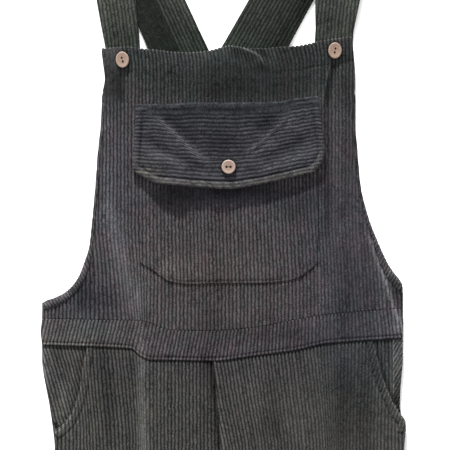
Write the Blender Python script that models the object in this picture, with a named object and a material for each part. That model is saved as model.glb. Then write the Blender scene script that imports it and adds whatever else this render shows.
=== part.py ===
"""Bib overalls in wide-wale corduroy, laid flat and face up on a table.

+X is to the right of someone looking down on them, +Y runs up the garment to the shoulders
and +Z is up from the table. The origin is on the table, under the middle of the waist.
Everything is in metres. Left and right are the viewer's.
"""

import math
from collections import namedtuple

import bmesh
import bpy
from mathutils import Matrix, Vector

# Driving dimensions
CLOTH = 0.0016  # one layer of corduroy, laid down
STRAP_CLOTH = 0.0024  # a strap is two layers pressed together
FLAP_CLOTH = 0.0030  # the flap is two layers with a turned edge
BINDING_CLOTH = 0.0012
GAP = 0.0003  # between neighbours at a seam
LAID = 0.0004  # between a piece and the one that it lies on
SEAM_LIFT = 0.0015  # how far the back's side edges turn up off the table
LEG_LENGTH = 0.935  # waist seam to hem
BACK_SEAM_Y = -0.010  # the back's waist seam
CROTCH_DROP = 0.262  # waist seam to crotch
RIDGE_X = -0.095  # the soft fold that runs down the front
RIDGE_HALF_WIDTH = 0.012
RIDGE_HEIGHT = 0.0025
TROUGH_X = 0.122  # the hollow beside the bib pocket
TROUGH_HALF_WIDTH = 0.009
TROUGH_DEPTH = 0.0020

# Grid lines of the front: near each edge, the third at the inner edge of the bindings and
# facings, and one on each fold and each of its feet
EDGE_STEPS = (0.0, 0.0045, 0.0105, 0.0200)
BAND_COLUMNS = 3
LINE_SPACING = 0.012  # the least between two grid lines of a leg
RIDGE_LINES = (RIDGE_X - RIDGE_HALF_WIDTH, RIDGE_X, RIDGE_X + RIDGE_HALF_WIDTH)
TROUGH_LINES = (TROUGH_X - TROUGH_HALF_WIDTH, TROUGH_X, TROUGH_X + TROUGH_HALF_WIDTH)
MIDDLE_LINES = (-0.0600, -0.0107, 0.0400, 0.0850)
BIB_LINES = RIDGE_LINES + MIDDLE_LINES + TROUGH_LINES
POCKET_LINES = RIDGE_LINES[2:] + MIDDLE_LINES

# The bib's side edges, from its top corners down to the ends of the waistband
Edges = namedtuple("Edges", "left_x left_y right_x right_y")
BIB_EDGES = (
    Edges(-0.1420, 0.3530, 0.1520, 0.3670),
    Edges(-0.1395, 0.3350, 0.1545, 0.3450),
    Edges(-0.1375, 0.3165, 0.1560, 0.3200),
    Edges(-0.1405, 0.3000, 0.1560, 0.3000),
    Edges(-0.1415, 0.2700, 0.1560, 0.2700),
    Edges(-0.1457, 0.2280, 0.1585, 0.2330),
    Edges(-0.1485, 0.1890, 0.1620, 0.1940),
    Edges(-0.1527, 0.1450, 0.1708, 0.1568),
    Edges(-0.1556, 0.1193, 0.1814, 0.1287),
    Edges(-0.1605, 0.1040, 0.1892, 0.1108),
    Edges(-0.1650, 0.0913, 0.1942, 0.1006),
    Edges(-0.1700, 0.0815, 0.2001, 0.0913),
    Edges(-0.1770, 0.0725, 0.2035, 0.0870),
    Edges(-0.1880, 0.0640, 0.2068, 0.0832),
    Edges(-0.2106, 0.0545, 0.2125, 0.0735),
    Edges(-0.2110, 0.0368, 0.2100, 0.0488),
)
HEM_FOOT = 2  # the row of BIB_EDGES at the foot of the top hem

# The bib's top edge sags between the two straps
TopEdge = namedtuple("TopEdge", "x y")
BIB_TOP = (
    TopEdge(-0.142, 0.3530),
    TopEdge(-0.115, 0.3545),
    TopEdge(-0.083, 0.3518),
    TopEdge(-0.045, 0.3480),
    TopEdge(-0.018, 0.3500),
    TopEdge(0.008, 0.3555),
    TopEdge(0.035, 0.3530),
    TopEdge(0.090, 0.3560),
    TopEdge(0.110, 0.3605),
    TopEdge(0.152, 0.3670),
)

# The waistband dips in the middle, and drops where the soft fold crosses it
Waist = namedtuple("Waist", "x top bottom")
WAISTBAND = (
    Waist(-0.2110, 0.0365, 0.0060),
    Waist(-0.1070, 0.0340, 0.0018),
    Waist(-0.0950, 0.0335, -0.0070),
    Waist(-0.0830, 0.0305, -0.0116),
    Waist(-0.0600, 0.0228, -0.0120),
    Waist(-0.0107, 0.0220, -0.0128),
    Waist(0.0400, 0.0262, -0.0068),
    Waist(0.0850, 0.0348, -0.0008),
    Waist(0.1220, 0.0407, 0.0073),
    Waist(0.2100, 0.0485, 0.0140),
)
WAIST_LINES = tuple(row.x for row in WAISTBAND[1:-1])

# The trousers' outline. Above the crotch both inner edges are the centre seam.
Leg = namedtuple("Leg", "y left_outer left_inner right_inner right_outer")
LEGS = (
    Leg(0.0150, -0.2110, -0.0110, -0.0110, 0.2100),
    Leg(-0.0120, -0.2110, -0.0105, -0.0105, 0.2120),
    Leg(-0.0300, -0.2090, -0.0085, -0.0085, 0.2105),
    Leg(-0.0490, -0.2050, -0.0070, -0.0070, 0.2090),
    Leg(-0.0700, -0.2015, -0.0052, -0.0052, 0.2085),
    Leg(-0.0960, -0.1980, -0.0030, -0.0030, 0.2150),
    Leg(-0.1150, -0.1960, -0.0020, -0.0020, 0.2135),
    Leg(-0.1600, -0.2000, 0.0000, 0.0000, 0.2170),
    Leg(-0.2200, -0.2100, 0.0015, 0.0015, 0.2260),
    Leg(-CROTCH_DROP, -0.2160, 0.0020, 0.0020, 0.2310),
    Leg(-0.3000, -0.2195, -0.0100, 0.0160, 0.2345),
    Leg(-0.3800, -0.2240, -0.0220, 0.0300, 0.2385),
    Leg(-0.5000, -0.2260, -0.0310, 0.0400, 0.2405),
    Leg(-0.7000, -0.2270, -0.0370, 0.0480, 0.2420),
    Leg(-LEG_LENGTH, -0.2280, -0.0410, 0.0530, 0.2430),
)

# The slanting mouths of the hip pockets: the front legs' edges run from the waist to here
Mouth = namedtuple("Mouth", "y left_x right_x")
POCKET_MOUTHS = (
    Mouth(0.0150, -0.1600, 0.1800),
    Mouth(-0.0180, -0.1640, 0.1880),
    Mouth(-0.0450, -0.1690, 0.1970),
    Mouth(-0.0700, -0.1795, 0.2060),
    Mouth(-0.0960, -0.1980, 0.2150),
)
HIP_INNER_LEFT = -0.125
HIP_INNER_RIGHT = 0.140
HIP_LEVELS = (-0.030, -0.050, -0.070, -0.088, -0.105, -0.125)
HIP_BOTTOM = HIP_LEVELS[-1]
HIP_TUCKS_BELOW = -0.080
HIP_TUCKED = 0.010  # below the mouth the hip piece stays this far inside the side seam
HIP_HEIGHT = SEAM_LIFT + CLOTH + GAP  # on the back's turned-up edge, and under the front leg
BACK_SHARES = (0.0, 0.04, 0.12, 0.35, 0.65, 0.88, 0.96, 1.0)  # grid lines across a back leg

# Heights of the front's underside: at its side edges, at its middle, and at the inseams
Height = namedtuple("Height", "y edge crown inner")
HEIGHTS = (
    Height(0.3670, 0.0031, 0.0060, 0.0060),
    Height(0.3000, 0.0031, 0.0060, 0.0060),
    Height(0.2700, 0.0006, 0.0060, 0.0060),
    Height(0.1400, 0.0006, 0.0060, 0.0060),
    Height(0.1000, 0.0020, 0.0060, 0.0060),
    Height(0.0700, 0.0032, 0.0060, 0.0060),
    Height(0.0500, 0.0034, 0.0056, 0.0056),
    Height(0.0150, 0.0036, 0.0054, 0.0054),
    Height(-0.0450, 0.0060, 0.0054, 0.0054),
    Height(-0.1250, 0.0054, 0.0054, 0.0054),
    Height(-0.1700, 0.0034, 0.0050, 0.0050),
    Height(-0.2200, 0.0034, 0.0048, 0.0048),
    Height(-0.3000, 0.0034, 0.0047, 0.0034),
    Height(-LEG_LENGTH, 0.0034, 0.0046, 0.0034),
)
EDGE_ROUND = 0.030  # over this far in, the front rises from its edge to its crown

# The bib pocket: square mouth under the flap, cut-off corners at the bottom
POCKET_EDGES = (
    Edges(-0.1010, 0.2760, 0.1110, 0.2780),
    Edges(-0.1000, 0.2330, 0.1125, 0.2330),
    Edges(-0.0990, 0.1890, 0.1130, 0.1940),
    Edges(-0.0970, 0.1450, 0.1130, 0.1570),
    Edges(-0.0955, 0.1020, 0.1120, 0.1020),
    Edges(-0.0800, 0.0930, 0.1000, 0.0920),
    Edges(-0.0630, 0.0810, 0.0860, 0.0830),
    Edges(-0.0400, 0.0772, 0.0500, 0.0785),
)

# The pocket flap, wider than the pocket, with its lower corners cut off
FLAP_EDGES = (
    Edges(-0.1015, 0.2880, 0.1130, 0.2955),
    Edges(-0.1013, 0.2800, 0.1140, 0.2840),
    Edges(-0.1015, 0.2680, 0.1155, 0.2740),
    Edges(-0.1030, 0.2430, 0.1185, 0.2500),
    Edges(-0.1050, 0.2210, 0.1203, 0.2320),
    Edges(-0.1045, 0.2115, 0.1150, 0.2220),
    Edges(-0.0920, 0.2015, 0.1055, 0.2090),
    Edges(-0.0780, 0.1948, 0.0930, 0.2042),
)
FLAP_SEAM_Y = 0.2900  # above here it lies on the bib, and from FLAP_STEP below here on the pocket
FLAP_STEP = 0.0070
FLAP_TOP_RISE = 0.0010
FLAP_BOTTOM_DROP = 0.0090
FLAP_STANDS_OFF = 0.0045  # at the lower edge
FLAP_BUTTON = (0.0076, 0.2140)
FLAP_SHARES = (0.0, 0.04, 0.12, 0.25, 0.38, 0.5, 0.62, 0.75, 0.88, 0.96, 1.0)  # grid lines across
DRAWN_SHARE = 0.45  # how much lower the button holds the flap, fading out over DRAWN_REACH
DRAWN_REACH = 0.075

# The back above the waist seam: a low panel that the straps are sewn to
BACK_LINES = (-0.150, -0.110, -0.055, 0.055, 0.100, 0.160)
BackTop = namedtuple("BackTop", "x y")
BACK_TOP = (
    BackTop(-0.211, 0.0545),
    BackTop(-0.150, 0.0820),
    BackTop(-0.110, 0.1000),
    BackTop(0.100, 0.1080),
    BackTop(0.160, 0.0940),
    BackTop(0.212, 0.0735),
)

# The straps, from the end under the bib up to the shoulder fold, and from there down the back.
# z is the middle of the strap, and slant the way that its width points, in degrees.
Strap = namedtuple("Strap", "x y z width slant")
LEFT_FRONT = (
    Strap(-0.1150, 0.3000, 0.0015, 0.0400, 4),
    Strap(-0.1165, 0.3530, 0.0015, 0.0405, 6),
    Strap(-0.1195, 0.3780, 0.0042, 0.0430, 7),
    Strap(-0.1235, 0.4070, 0.0044, 0.0455, 7.5),
    Strap(-0.1305, 0.4600, 0.0044, 0.0500, 8),
    Strap(-0.1385, 0.5200, 0.0048, 0.0550, 11),
    Strap(-0.1420, 0.5430, 0.0062, 0.0575, 14),
    Strap(-0.1436, 0.5540, 0.0064, 0.0580, 16),
)
LEFT_BACK = (
    Strap(-0.1436, 0.5540, 0.0012, 0.0580, 16),
    Strap(-0.1320, 0.5300, 0.0012, 0.0600, 20),
    Strap(-0.0730, 0.4000, 0.0012, 0.0630, 24.5),
    Strap(-0.0400, 0.3270, 0.0012, 0.0650, 24.5),
    Strap(-0.0120, 0.2650, 0.0012, 0.0660, 24.5),
    Strap(0.0170, 0.2000, 0.0012, 0.0670, 24.5),
    Strap(0.0460, 0.1360, 0.0012, 0.0680, 24),
    Strap(0.0550, 0.1160, 0.0032, 0.0680, 24),
    Strap(0.0700, 0.0820, 0.0034, 0.0680, 24),
)
RIGHT_FRONT = (
    Strap(0.1285, 0.3050, 0.0015, 0.0440, -4),
    Strap(0.1318, 0.3720, 0.0015, 0.0450, -5),
    Strap(0.1340, 0.3980, 0.0044, 0.0500, -5.5),
    Strap(0.1360, 0.4150, 0.0044, 0.0526, -6),
    Strap(0.1405, 0.4600, 0.0044, 0.0550, -7),
    Strap(0.1460, 0.5200, 0.0048, 0.0580, -11),
    Strap(0.1483, 0.5420, 0.0062, 0.0600, -14),
    Strap(0.1493, 0.5520, 0.0064, 0.0600, -17),
)
RIGHT_BACK = (
    Strap(0.1493, 0.5520, 0.0012, 0.0600, -17),
    Strap(0.1370, 0.5300, 0.0012, 0.0640, -22),
    Strap(0.0640, 0.4000, 0.0012, 0.0670, -29.5),
    Strap(0.0440, 0.3640, 0.0013, 0.0680, -29.5),
    Strap(0.0270, 0.3340, 0.0042, 0.0685, -29.5),
    Strap(-0.0120, 0.2650, 0.0042, 0.0690, -29.5),
    Strap(-0.0500, 0.1960, 0.0042, 0.0690, -28.5),
    Strap(-0.0650, 0.1670, 0.0013, 0.0690, -28),
    Strap(-0.0820, 0.1330, 0.0012, 0.0690, -27),
    Strap(-0.0905, 0.1150, 0.0032, 0.0690, -26),
    Strap(-0.1060, 0.0820, 0.0034, 0.0690, -25),
)
TURN_STEPS = 6  # flats round the shoulder fold

# Buttons: place of the centre, and how far across
Button = namedtuple("Button", "name x y diameter holes_turn")
BIB_BUTTON = 0.019
FLAP_BUTTON_SIZE = 0.017
BUTTON_THICK = 0.0032
BUTTON_DISH = 0.0008
BUTTON_SIDES = 28
HOLE_RADIUS = 0.0010
HOLE_SPACING = 0.0038

COLOURS = {
    "corduroy": ((0.072, 0.070, 0.069), 0.95),
    "wood": ((0.37, 0.26, 0.19), 0.45),
}


def clear_scene():
    for thing in list(bpy.data.objects):
        bpy.data.objects.remove(thing)


def material(name):
    """The named finish, made once."""
    found = bpy.data.materials.get(name)
    if found:
        return found
    colour, roughness = COLOURS[name]
    made = bpy.data.materials.new(name)
    made.use_nodes = True
    shader = made.node_tree.nodes["Principled BSDF"]
    shader.inputs["Base Color"].default_value = (*colour, 1.0)
    shader.inputs["Roughness"].default_value = roughness
    return made


def add_object(name, bm, finish):
    mesh = bpy.data.meshes.new(name)
    bm.to_mesh(mesh)
    bm.free()
    made = bpy.data.objects.new(name, mesh)
    bpy.context.scene.collection.objects.link(made)
    mesh.materials.append(material(finish))
    return made


def along(table, at, key, column):
    """The value of a column where the key column, rising or falling, reaches at."""
    rows = sorted(table, key=lambda row: getattr(row, key))
    low = rows[0]
    for high in rows[1:]:
        if at <= getattr(high, key):
            break
        low = high
    start, end = getattr(low, key), getattr(high, key)
    share = 0.0 if end == start else (at - start) / (end - start)
    share = min(1.0, max(0.0, share))
    return getattr(low, column) * (1 - share) + getattr(high, column) * share


def rounded(distance):
    """0 at an edge and 1 past EDGE_ROUND, along a quarter of an ellipse through EDGE_STEPS."""
    steps = EDGE_STEPS + (EDGE_ROUND,)
    for near, far in zip(steps, steps[1:]):
        if distance <= far:
            start, end = quarter_ellipse(near), quarter_ellipse(far)
            return start + (end - start) * max(0.0, distance - near) / (far - near)
    return 1.0


def quarter_ellipse(distance):
    share = 1 - min(1.0, distance / EDGE_ROUND)
    return math.sqrt(max(0.0, 1 - share * share))


def tent(value, middle, half_width):
    return max(0.0, 1 - abs(value - middle) / half_width)


def between(value, full_from, full_to, fade):
    """1 from full_from up to full_to, and fading to 0 over fade on either side."""
    outside = max(full_from - value, value - full_to, 0.0)
    return max(0.0, 1 - outside / fade)


def folds(x, y):
    """The ridge down the front's left and the hollow to the right of the bib pocket."""
    ridge = RIDGE_HEIGHT * tent(x, RIDGE_X, RIDGE_HALF_WIDTH) * between(y, -0.220, 0.040, 0.060)
    trough = TROUGH_DEPTH * tent(x, TROUGH_X, TROUGH_HALF_WIDTH) * between(y, 0.129, 0.300, 0.030)
    return ridge - trough


def outer_edges(y):
    """x of the front's left and right edges at this height up the garment."""
    if y > BIB_EDGES[-1].left_y:
        left = along(BIB_EDGES, y, "left_y", "left_x")
    else:
        left = along(LEGS, y, "y", "left_outer")
    if y > BIB_EDGES[-1].right_y:
        right = along(BIB_EDGES, y, "right_y", "right_x")
    else:
        right = along(LEGS, y, "y", "right_outer")
    return left, right


def front_height(x, y):
    """The underside of the front above the table, over the waist and the bib."""
    left, right = outer_edges(y)
    inward = max(0.0, min(x - left, right - x))
    edge = along(HEIGHTS, y, "y", "edge")
    crown = along(HEIGHTS, y, "y", "crown")
    return edge + (crown - edge) * rounded(inward) + folds(x, y)


def leg_height(x, y, outer, inner):
    """The underside of a front leg, between its outer and its inner edge."""
    crown = along(HEIGHTS, y, "y", "crown")
    edge = crown if y > HIP_BOTTOM else along(HEIGHTS, y, "y", "edge")
    seam = along(HEIGHTS, y, "y", "inner")
    sunk_outside = (crown - edge) * (1 - rounded(abs(x - outer)))
    sunk_inside = (crown - seam) * (1 - rounded(abs(x - inner)))
    return crown - sunk_outside - sunk_inside + folds(x, y)


def cloth(name, rows, thick=CLOTH, finish="corduroy"):
    """A wall of cloth. rows are the sections of its underside, each with as many points."""
    across, down = len(rows[0]) - 1, len(rows) - 1
    bm = bmesh.new()
    bmesh.ops.create_grid(bm, x_segments=across, y_segments=down, size=1)
    for vert in bm.verts:
        column = round((vert.co.x + 1) / 2 * across)
        row = round((1 - vert.co.y) / 2 * down)
        vert.co = rows[row][column]
    raised = bmesh.ops.extrude_face_region(bm, geom=bm.faces[:])["geom"]
    top = [item for item in raised if isinstance(item, bmesh.types.BMVert)]
    bmesh.ops.translate(bm, verts=top, vec=(0, 0, thick))
    bmesh.ops.recalc_face_normals(bm, faces=bm.faces)
    return add_object(name, bm, finish)


def spread(left, right, lines):
    """x of the grid lines of a section: near its left edge, on the fixed lines, near its right."""
    near_left = [left + step for step in EDGE_STEPS]
    near_right = [right - step for step in reversed(EDGE_STEPS)]
    return near_left + list(lines) + near_right


def edge_points(points, inward):
    """Points along an edge, each with the ones beside it in the cloth, square to the edge."""
    beside = []
    for index, point in enumerate(points):
        if index in (0, len(points) - 1):
            turn = Vector((inward, 0))
        else:
            arriving = (Vector(point) - Vector(points[index - 1])).normalized()
            leaving = (Vector(points[index + 1]) - Vector(point)).normalized()
            down = (arriving + leaving).normalized()
            turn = Vector((-down.y, down.x)) * inward
        beside.append([Vector(point) + turn * step for step in EDGE_STEPS])
    return beside


def bib_points():
    """Sections of the bib's underside, from its top edge down to the waistband."""
    near_left = edge_points([(row.left_x, row.left_y) for row in BIB_EDGES], 1)
    near_right = edge_points([(row.right_x, row.right_y) for row in BIB_EDGES], -1)
    rows = []
    last = len(BIB_EDGES) - 1
    for index, edge in enumerate(BIB_EDGES):
        slope = (edge.right_y - edge.left_y) / (edge.right_x - edge.left_x)
        middle = [Vector((x, edge.left_y + slope * (x - edge.left_x))) for x in BIB_LINES]
        row = []
        for point in near_left[index] + middle + near_right[index][::-1]:
            x, y = point
            if index == 0:
                y = along(BIB_TOP, x, "x", "y")
            if index == last:
                y = along(WAISTBAND, x, "x", "top") + GAP
            row.append((x, y, front_height(x, y)))
        rows.append(row)
    return rows


def bib():
    """The front above the waistband, from strap to strap."""
    return cloth("bib_front", bib_points())


def lifted(points, rise):
    return [(x, y, z + rise) for x, y, z in points]


def band_on(rows, side):
    """The outermost points of a panel's sections, moved out to lie on it."""
    if side == "left":
        return [lifted(row[:BAND_COLUMNS], CLOTH + LAID) for row in rows]
    return [lifted(row[-BAND_COLUMNS:], CLOTH + LAID) for row in rows]


def waistband():
    """The band round the front of the waist, a little proud of the legs below it."""
    left, right = WAISTBAND[0].x, WAISTBAND[-1].x
    rows = []
    for share in (0.0, 0.5, 1.0):
        row = []
        for x in spread(left, right, WAIST_LINES):
            top = along(WAISTBAND, x, "x", "top")
            bottom = along(WAISTBAND, x, "x", "bottom")
            y = top + (bottom - top) * share
            row.append((x, y, front_height(x, y)))
        rows.append(row)
    return cloth("waistband_front", rows)


def leg_points(side):
    """Sections of a front leg's underside, from the waist seam down to the hem."""
    sections = {row.y for row in POCKET_MOUTHS + LEGS if row.y < -0.014}
    return [leg_row(side == "left", y) for y in (None, *sorted(sections, reverse=True))]


def front_leg(side):
    """A front leg, from the waist seam and the slanting pocket mouth down to the hem."""
    return cloth(f"front_leg_{side}", leg_points(side))


def leg_row(left, y):
    """One section of a front leg, or its top edge along the waist seam if y is None."""
    side = "left" if left else "right"
    inward = 1 if left else -1
    level = 0.0 if y is None else y
    if level > POCKET_MOUTHS[-1].y:
        outer = along(POCKET_MOUTHS, level, "y", f"{side}_x")
    else:
        outer = along(LEGS, level, "y", f"{side}_outer")
    inner = along(LEGS, level, "y", f"{side}_inner") - inward * GAP / 2
    lines = RIDGE_LINES + MIDDLE_LINES[:1] if left else MIDDLE_LINES[2:] + (TROUGH_X,)
    crossings = [outer + inward * step for step in EDGE_STEPS]
    near_inner = [inner - inward * step for step in reversed(EDGE_STEPS)]
    fixed = []
    last = near_inner[0]
    for line in (reversed(lines) if left else lines):
        last = min(line, last - LINE_SPACING) if left else max(line, last + LINE_SPACING)
        fixed.append(last)
    crossings += fixed[::-1] + near_inner
    row = []
    for x in crossings:
        at = along(WAISTBAND, x, "x", "bottom") - GAP if y is None else y
        row.append((x, at, leg_height(x, at, outer, inner)))
    return row if left else row[::-1]


def back_height(x, left, right):
    """The back lies on the table, and turns up at its side seams."""
    inward = max(0.0, min(x - left, right - x))
    return SEAM_LIFT * (1 - rounded(inward))


def back_waist():
    """The low back panel, which the straps are sewn to."""
    left, right = BACK_TOP[0].x, BACK_TOP[-1].x
    rows = []
    for share in (0.0, 0.5, 1.0):
        row = []
        for x in spread(left, right, BACK_LINES):
            top = along(BACK_TOP, x, "x", "y")
            y = top + (BACK_SEAM_Y + GAP / 2 - top) * share
            row.append((x, y, back_height(x, left, right)))
        rows.append(row)
    return cloth("back_waist", rows)


def back_leg(side):
    """A back leg, flat on the table, from the waist seam to the hem."""
    left = side == "left"
    rows = []
    for section in (Leg(BACK_SEAM_Y - GAP / 2, *LEGS[0][1:]),) + LEGS[2:]:
        if left:
            start, end = section.left_outer, section.left_inner - GAP / 2
        else:
            start, end = section.right_inner + GAP / 2, section.right_outer
        below_crotch = section.y <= -0.300
        row = []
        for share in BACK_SHARES:
            x = start + (end - start) * share
            outer = x - start if left else end - x
            inner = end - x if left else x - start
            lift = SEAM_LIFT * (1 - rounded(outer))
            if below_crotch:
                lift += SEAM_LIFT * (1 - rounded(inner))
            row.append((x, section.y, lift))
        rows.append(row)
    return cloth(f"back_leg_{side}", rows)


def hip_pocket(side):
    """The hip piece that shows in the pocket's mouth, and is the pocket's back behind it."""
    left = side == "left"
    inner = HIP_INNER_LEFT if left else HIP_INNER_RIGHT
    column = "left_outer" if left else "right_outer"
    tucked = HIP_TUCKED if left else -HIP_TUCKED
    rows = []
    for y in (None, *HIP_LEVELS):
        level = 0.0 if y is None else y
        outer = along(LEGS, level, "y", column)
        if level < HIP_TUCKS_BELOW:
            outer += tucked
        row = []
        for share in (0.0, 0.25, 0.5, 1.0):
            x = outer + (inner - outer) * share
            at = along(WAISTBAND, x, "x", "bottom") - GAP if y is None else y
            row.append((x, at, HIP_HEIGHT))
        rows.append(row if left else row[::-1])
    return cloth(f"hip_pocket_{side}", rows)


def pocket_facing(side):
    """The turned edge of the pocket's mouth, a band on the front leg."""
    rows = [row for row in leg_points(side) if row[0][1] > POCKET_MOUTHS[-1].y - GAP]
    return cloth(f"pocket_facing_{side}", band_on(rows, side), BINDING_CLOTH)


def armhole_binding(side):
    """The binding of the armhole's edge, a band on the bib from its top hem to the side seam."""
    rows = bib_points()[HEM_FOOT:-1]
    return cloth(f"armhole_binding_{side}", band_on(rows, side), BINDING_CLOTH)


def on_bib(x, y):
    """Height at which a piece lies on the bib."""
    return front_height(x, y) + CLOTH + LAID


def bib_pocket():
    """The large patch pocket on the bib."""
    rows = []
    for edge in POCKET_EDGES:
        width = edge.right_x - edge.left_x
        first, last = edge.left_x + 0.06 * width, edge.right_x - 0.06 * width
        lines = keep_apart([max(first, min(last, x)) for x in POCKET_LINES], 0.02 * width)
        row = []
        for x in [edge.left_x, *lines, edge.right_x]:
            y = edge.left_y + (edge.right_y - edge.left_y) * (x - edge.left_x) / width
            row.append((x, y, on_bib(x, y)))
        rows.append(row)
    return cloth("bib_pocket", rows)


def keep_apart(values, least):
    """The rising values, each moved up or down where two would fall together."""
    spaced = list(values)
    for index in range(1, len(spaced)):
        spaced[index] = max(spaced[index], spaced[index - 1] + least)
    return spaced


def flap_height(x, y):
    """The flap lies on the pocket at its top, and stands off it at its lower edge."""
    top, bottom = FLAP_EDGES[0].left_y, FLAP_EDGES[-1].left_y - FLAP_BOTTOM_DROP
    over_mouth = min(1.0, max(0.0, (FLAP_SEAM_Y - y) / FLAP_STEP))
    lying = on_bib(x, y) + (CLOTH + LAID) * over_mouth
    down = min(1.0, max(0.0, (top - y) / (top - bottom)))
    drawn_in = tent(x, FLAP_BUTTON[0], DRAWN_REACH) * tent(y, FLAP_BUTTON[1], DRAWN_REACH)
    return lying + FLAP_STANDS_OFF * down**1.3 * (1 - DRAWN_SHARE * drawn_in)


def pocket_flap():
    """The flap that closes the bib pocket, held by its button."""
    rows = []
    last = len(FLAP_EDGES) - 1
    for index, edge in enumerate(FLAP_EDGES):
        down = index / last
        row = []
        for share in FLAP_SHARES:
            x = edge.left_x + (edge.right_x - edge.left_x) * share
            y = edge.left_y + (edge.right_y - edge.left_y) * share
            bulge = 4 * share * (1 - share)
            y += bulge * (FLAP_TOP_RISE * (1 - down) - FLAP_BOTTOM_DROP * down)
            row.append((x, y, flap_height(x, y)))
        rows.append(row)
    return cloth("pocket_flap", rows, FLAP_CLOTH)


def shoulder_turn(front, back):
    """The strap's sections round its fold, half a circle between its two layers."""
    slant = math.radians(front.slant)
    radius = (front.z - back.z) / 2
    sections = []
    for step in range(1, TURN_STEPS):
        turn = math.pi * step / TURN_STEPS
        reach = radius * math.sin(turn)
        x, y = front.x - reach * math.sin(slant), front.y + reach * math.cos(slant)
        z = back.z + radius * (1 + math.cos(turn))
        sections.append(Strap(x, y, z, front.width, front.slant))
    return sections


def strap(name, front, back):
    """A strap of two layers, its middle surface given its thickness evenly on both sides."""
    sections = [*front, *shoulder_turn(front[-1], back[0]), *back]
    bm = bmesh.new()
    bmesh.ops.create_grid(bm, x_segments=2, y_segments=len(sections) - 1, size=1)
    for vert in bm.verts:
        section = sections[round((1 - vert.co.y) / 2 * (len(sections) - 1))]
        angle = math.radians(section.slant)
        across = Vector((math.cos(angle), math.sin(angle), 0)) * section.width / 2
        vert.co = Vector((section.x, section.y, section.z)) + across * vert.co.x
    made = add_object(name, bm, "corduroy")
    solidify = made.modifiers.new("thickness", "SOLIDIFY")
    solidify.thickness = STRAP_CLOTH
    solidify.offset = 0
    solidify.use_even_offset = True
    return made


def button_cutter(name, place, turn, radius):
    """A pin through one of a button's holes, for cutting only."""
    bpy.ops.mesh.primitive_cylinder_add(vertices=10, radius=radius, depth=4 * BUTTON_THICK)
    pin = bpy.context.object
    pin.name = name
    pin.data.transform(Matrix.Translation(place))
    pin.matrix_world = turn
    pin.hide_render = True
    pin.display_type = "WIRE"
    return pin


def button(part, height, lean):
    """A dished two-hole button, lying on the cloth."""
    radius = part.diameter / 2
    rim = 0.16 * radius
    profile = (
        (0, 0),
        (radius - rim, 0),
        (radius, 0.30 * BUTTON_THICK),
        (radius, 0.75 * BUTTON_THICK),
        (radius - rim / 2, BUTTON_THICK),
        (radius - 2 * rim, BUTTON_THICK - BUTTON_DISH),
        (0, BUTTON_THICK - BUTTON_DISH),
    )
    bm = bmesh.new()
    verts = [bm.verts.new((r, 0, z)) for r, z in profile]
    edges = [bm.edges.new(pair) for pair in zip(verts, verts[1:])]
    centre = {"cent": (0, 0, 0), "axis": (0, 0, 1)}
    bmesh.ops.spin(bm, geom=verts + edges, angle=math.tau, steps=BUTTON_SIDES, use_merge=True, **centre)
    bmesh.ops.remove_doubles(bm, verts=bm.verts, dist=0.00001)
    bmesh.ops.recalc_face_normals(bm, faces=bm.faces)
    made = add_object(part.name, bm, "wood")
    made.matrix_world = (
        Matrix.Translation((part.x, part.y, height))
        @ lean
        @ Matrix.Rotation(math.radians(part.holes_turn), 4, "Z")
    )
    for end in (-1, 1):
        place = Vector((end * HOLE_SPACING / 2, 0, 0))
        pin = button_cutter(f"{part.name}_cutter_{end}", place, made.matrix_world, HOLE_RADIUS)
        hole = made.modifiers.new(f"hole_{end}", "BOOLEAN")
        hole.object = pin
        hole.operation = "DIFFERENCE"
    return made


def lie_on(surface, x, y, radius):
    """How a flat disc lies on a surface: its lean, and the height of its middle."""
    slope_x = (surface(x + radius, y) - surface(x - radius, y)) / (2 * radius)
    slope_y = (surface(x, y + radius) - surface(x, y - radius)) / (2 * radius)
    normal = Vector((-slope_x, -slope_y, 1)).normalized()
    lean = Vector((0, 0, 1)).rotation_difference(normal).to_matrix().to_4x4()
    turns = [step * math.tau / 16 for step in range(16)]
    rise = max(
        surface(x + share * radius * math.cos(turn), y + share * radius * math.sin(turn))
        - share * radius * (slope_x * math.cos(turn) + slope_y * math.sin(turn))
        for turn in turns
        for share in (0.0, 0.5, 1.0)
    )
    return lean, rise


def main():
    clear_scene()
    back_waist()
    for side in ("left", "right"):
        back_leg(side)
        hip_pocket(side)
        front_leg(side)
        pocket_facing(side)
        armhole_binding(side)
    strap("strap_left", LEFT_FRONT, LEFT_BACK)
    strap("strap_right", RIGHT_FRONT, RIGHT_BACK)
    waistband()
    bib()
    bib_pocket()
    pocket_flap()
    buttons = (
        (Button("button_bib_left", -0.1172, 0.3393, BIB_BUTTON, 100), on_bib),
        (Button("button_bib_right", 0.1316, 0.3500, BIB_BUTTON, 80), on_bib),
        (
            Button("button_flap", *FLAP_BUTTON, FLAP_BUTTON_SIZE, 0),
            lambda x, y: flap_height(x, y) + FLAP_CLOTH + LAID,
        ),
    )
    for part, surface in buttons:
        lean, height = lie_on(surface, part.x, part.y, part.diameter / 2)
        button(part, height, lean)


main()
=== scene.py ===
import math
from collections import namedtuple

import bmesh
import bpy
import numpy as np
from mathutils import Matrix, Vector


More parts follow.
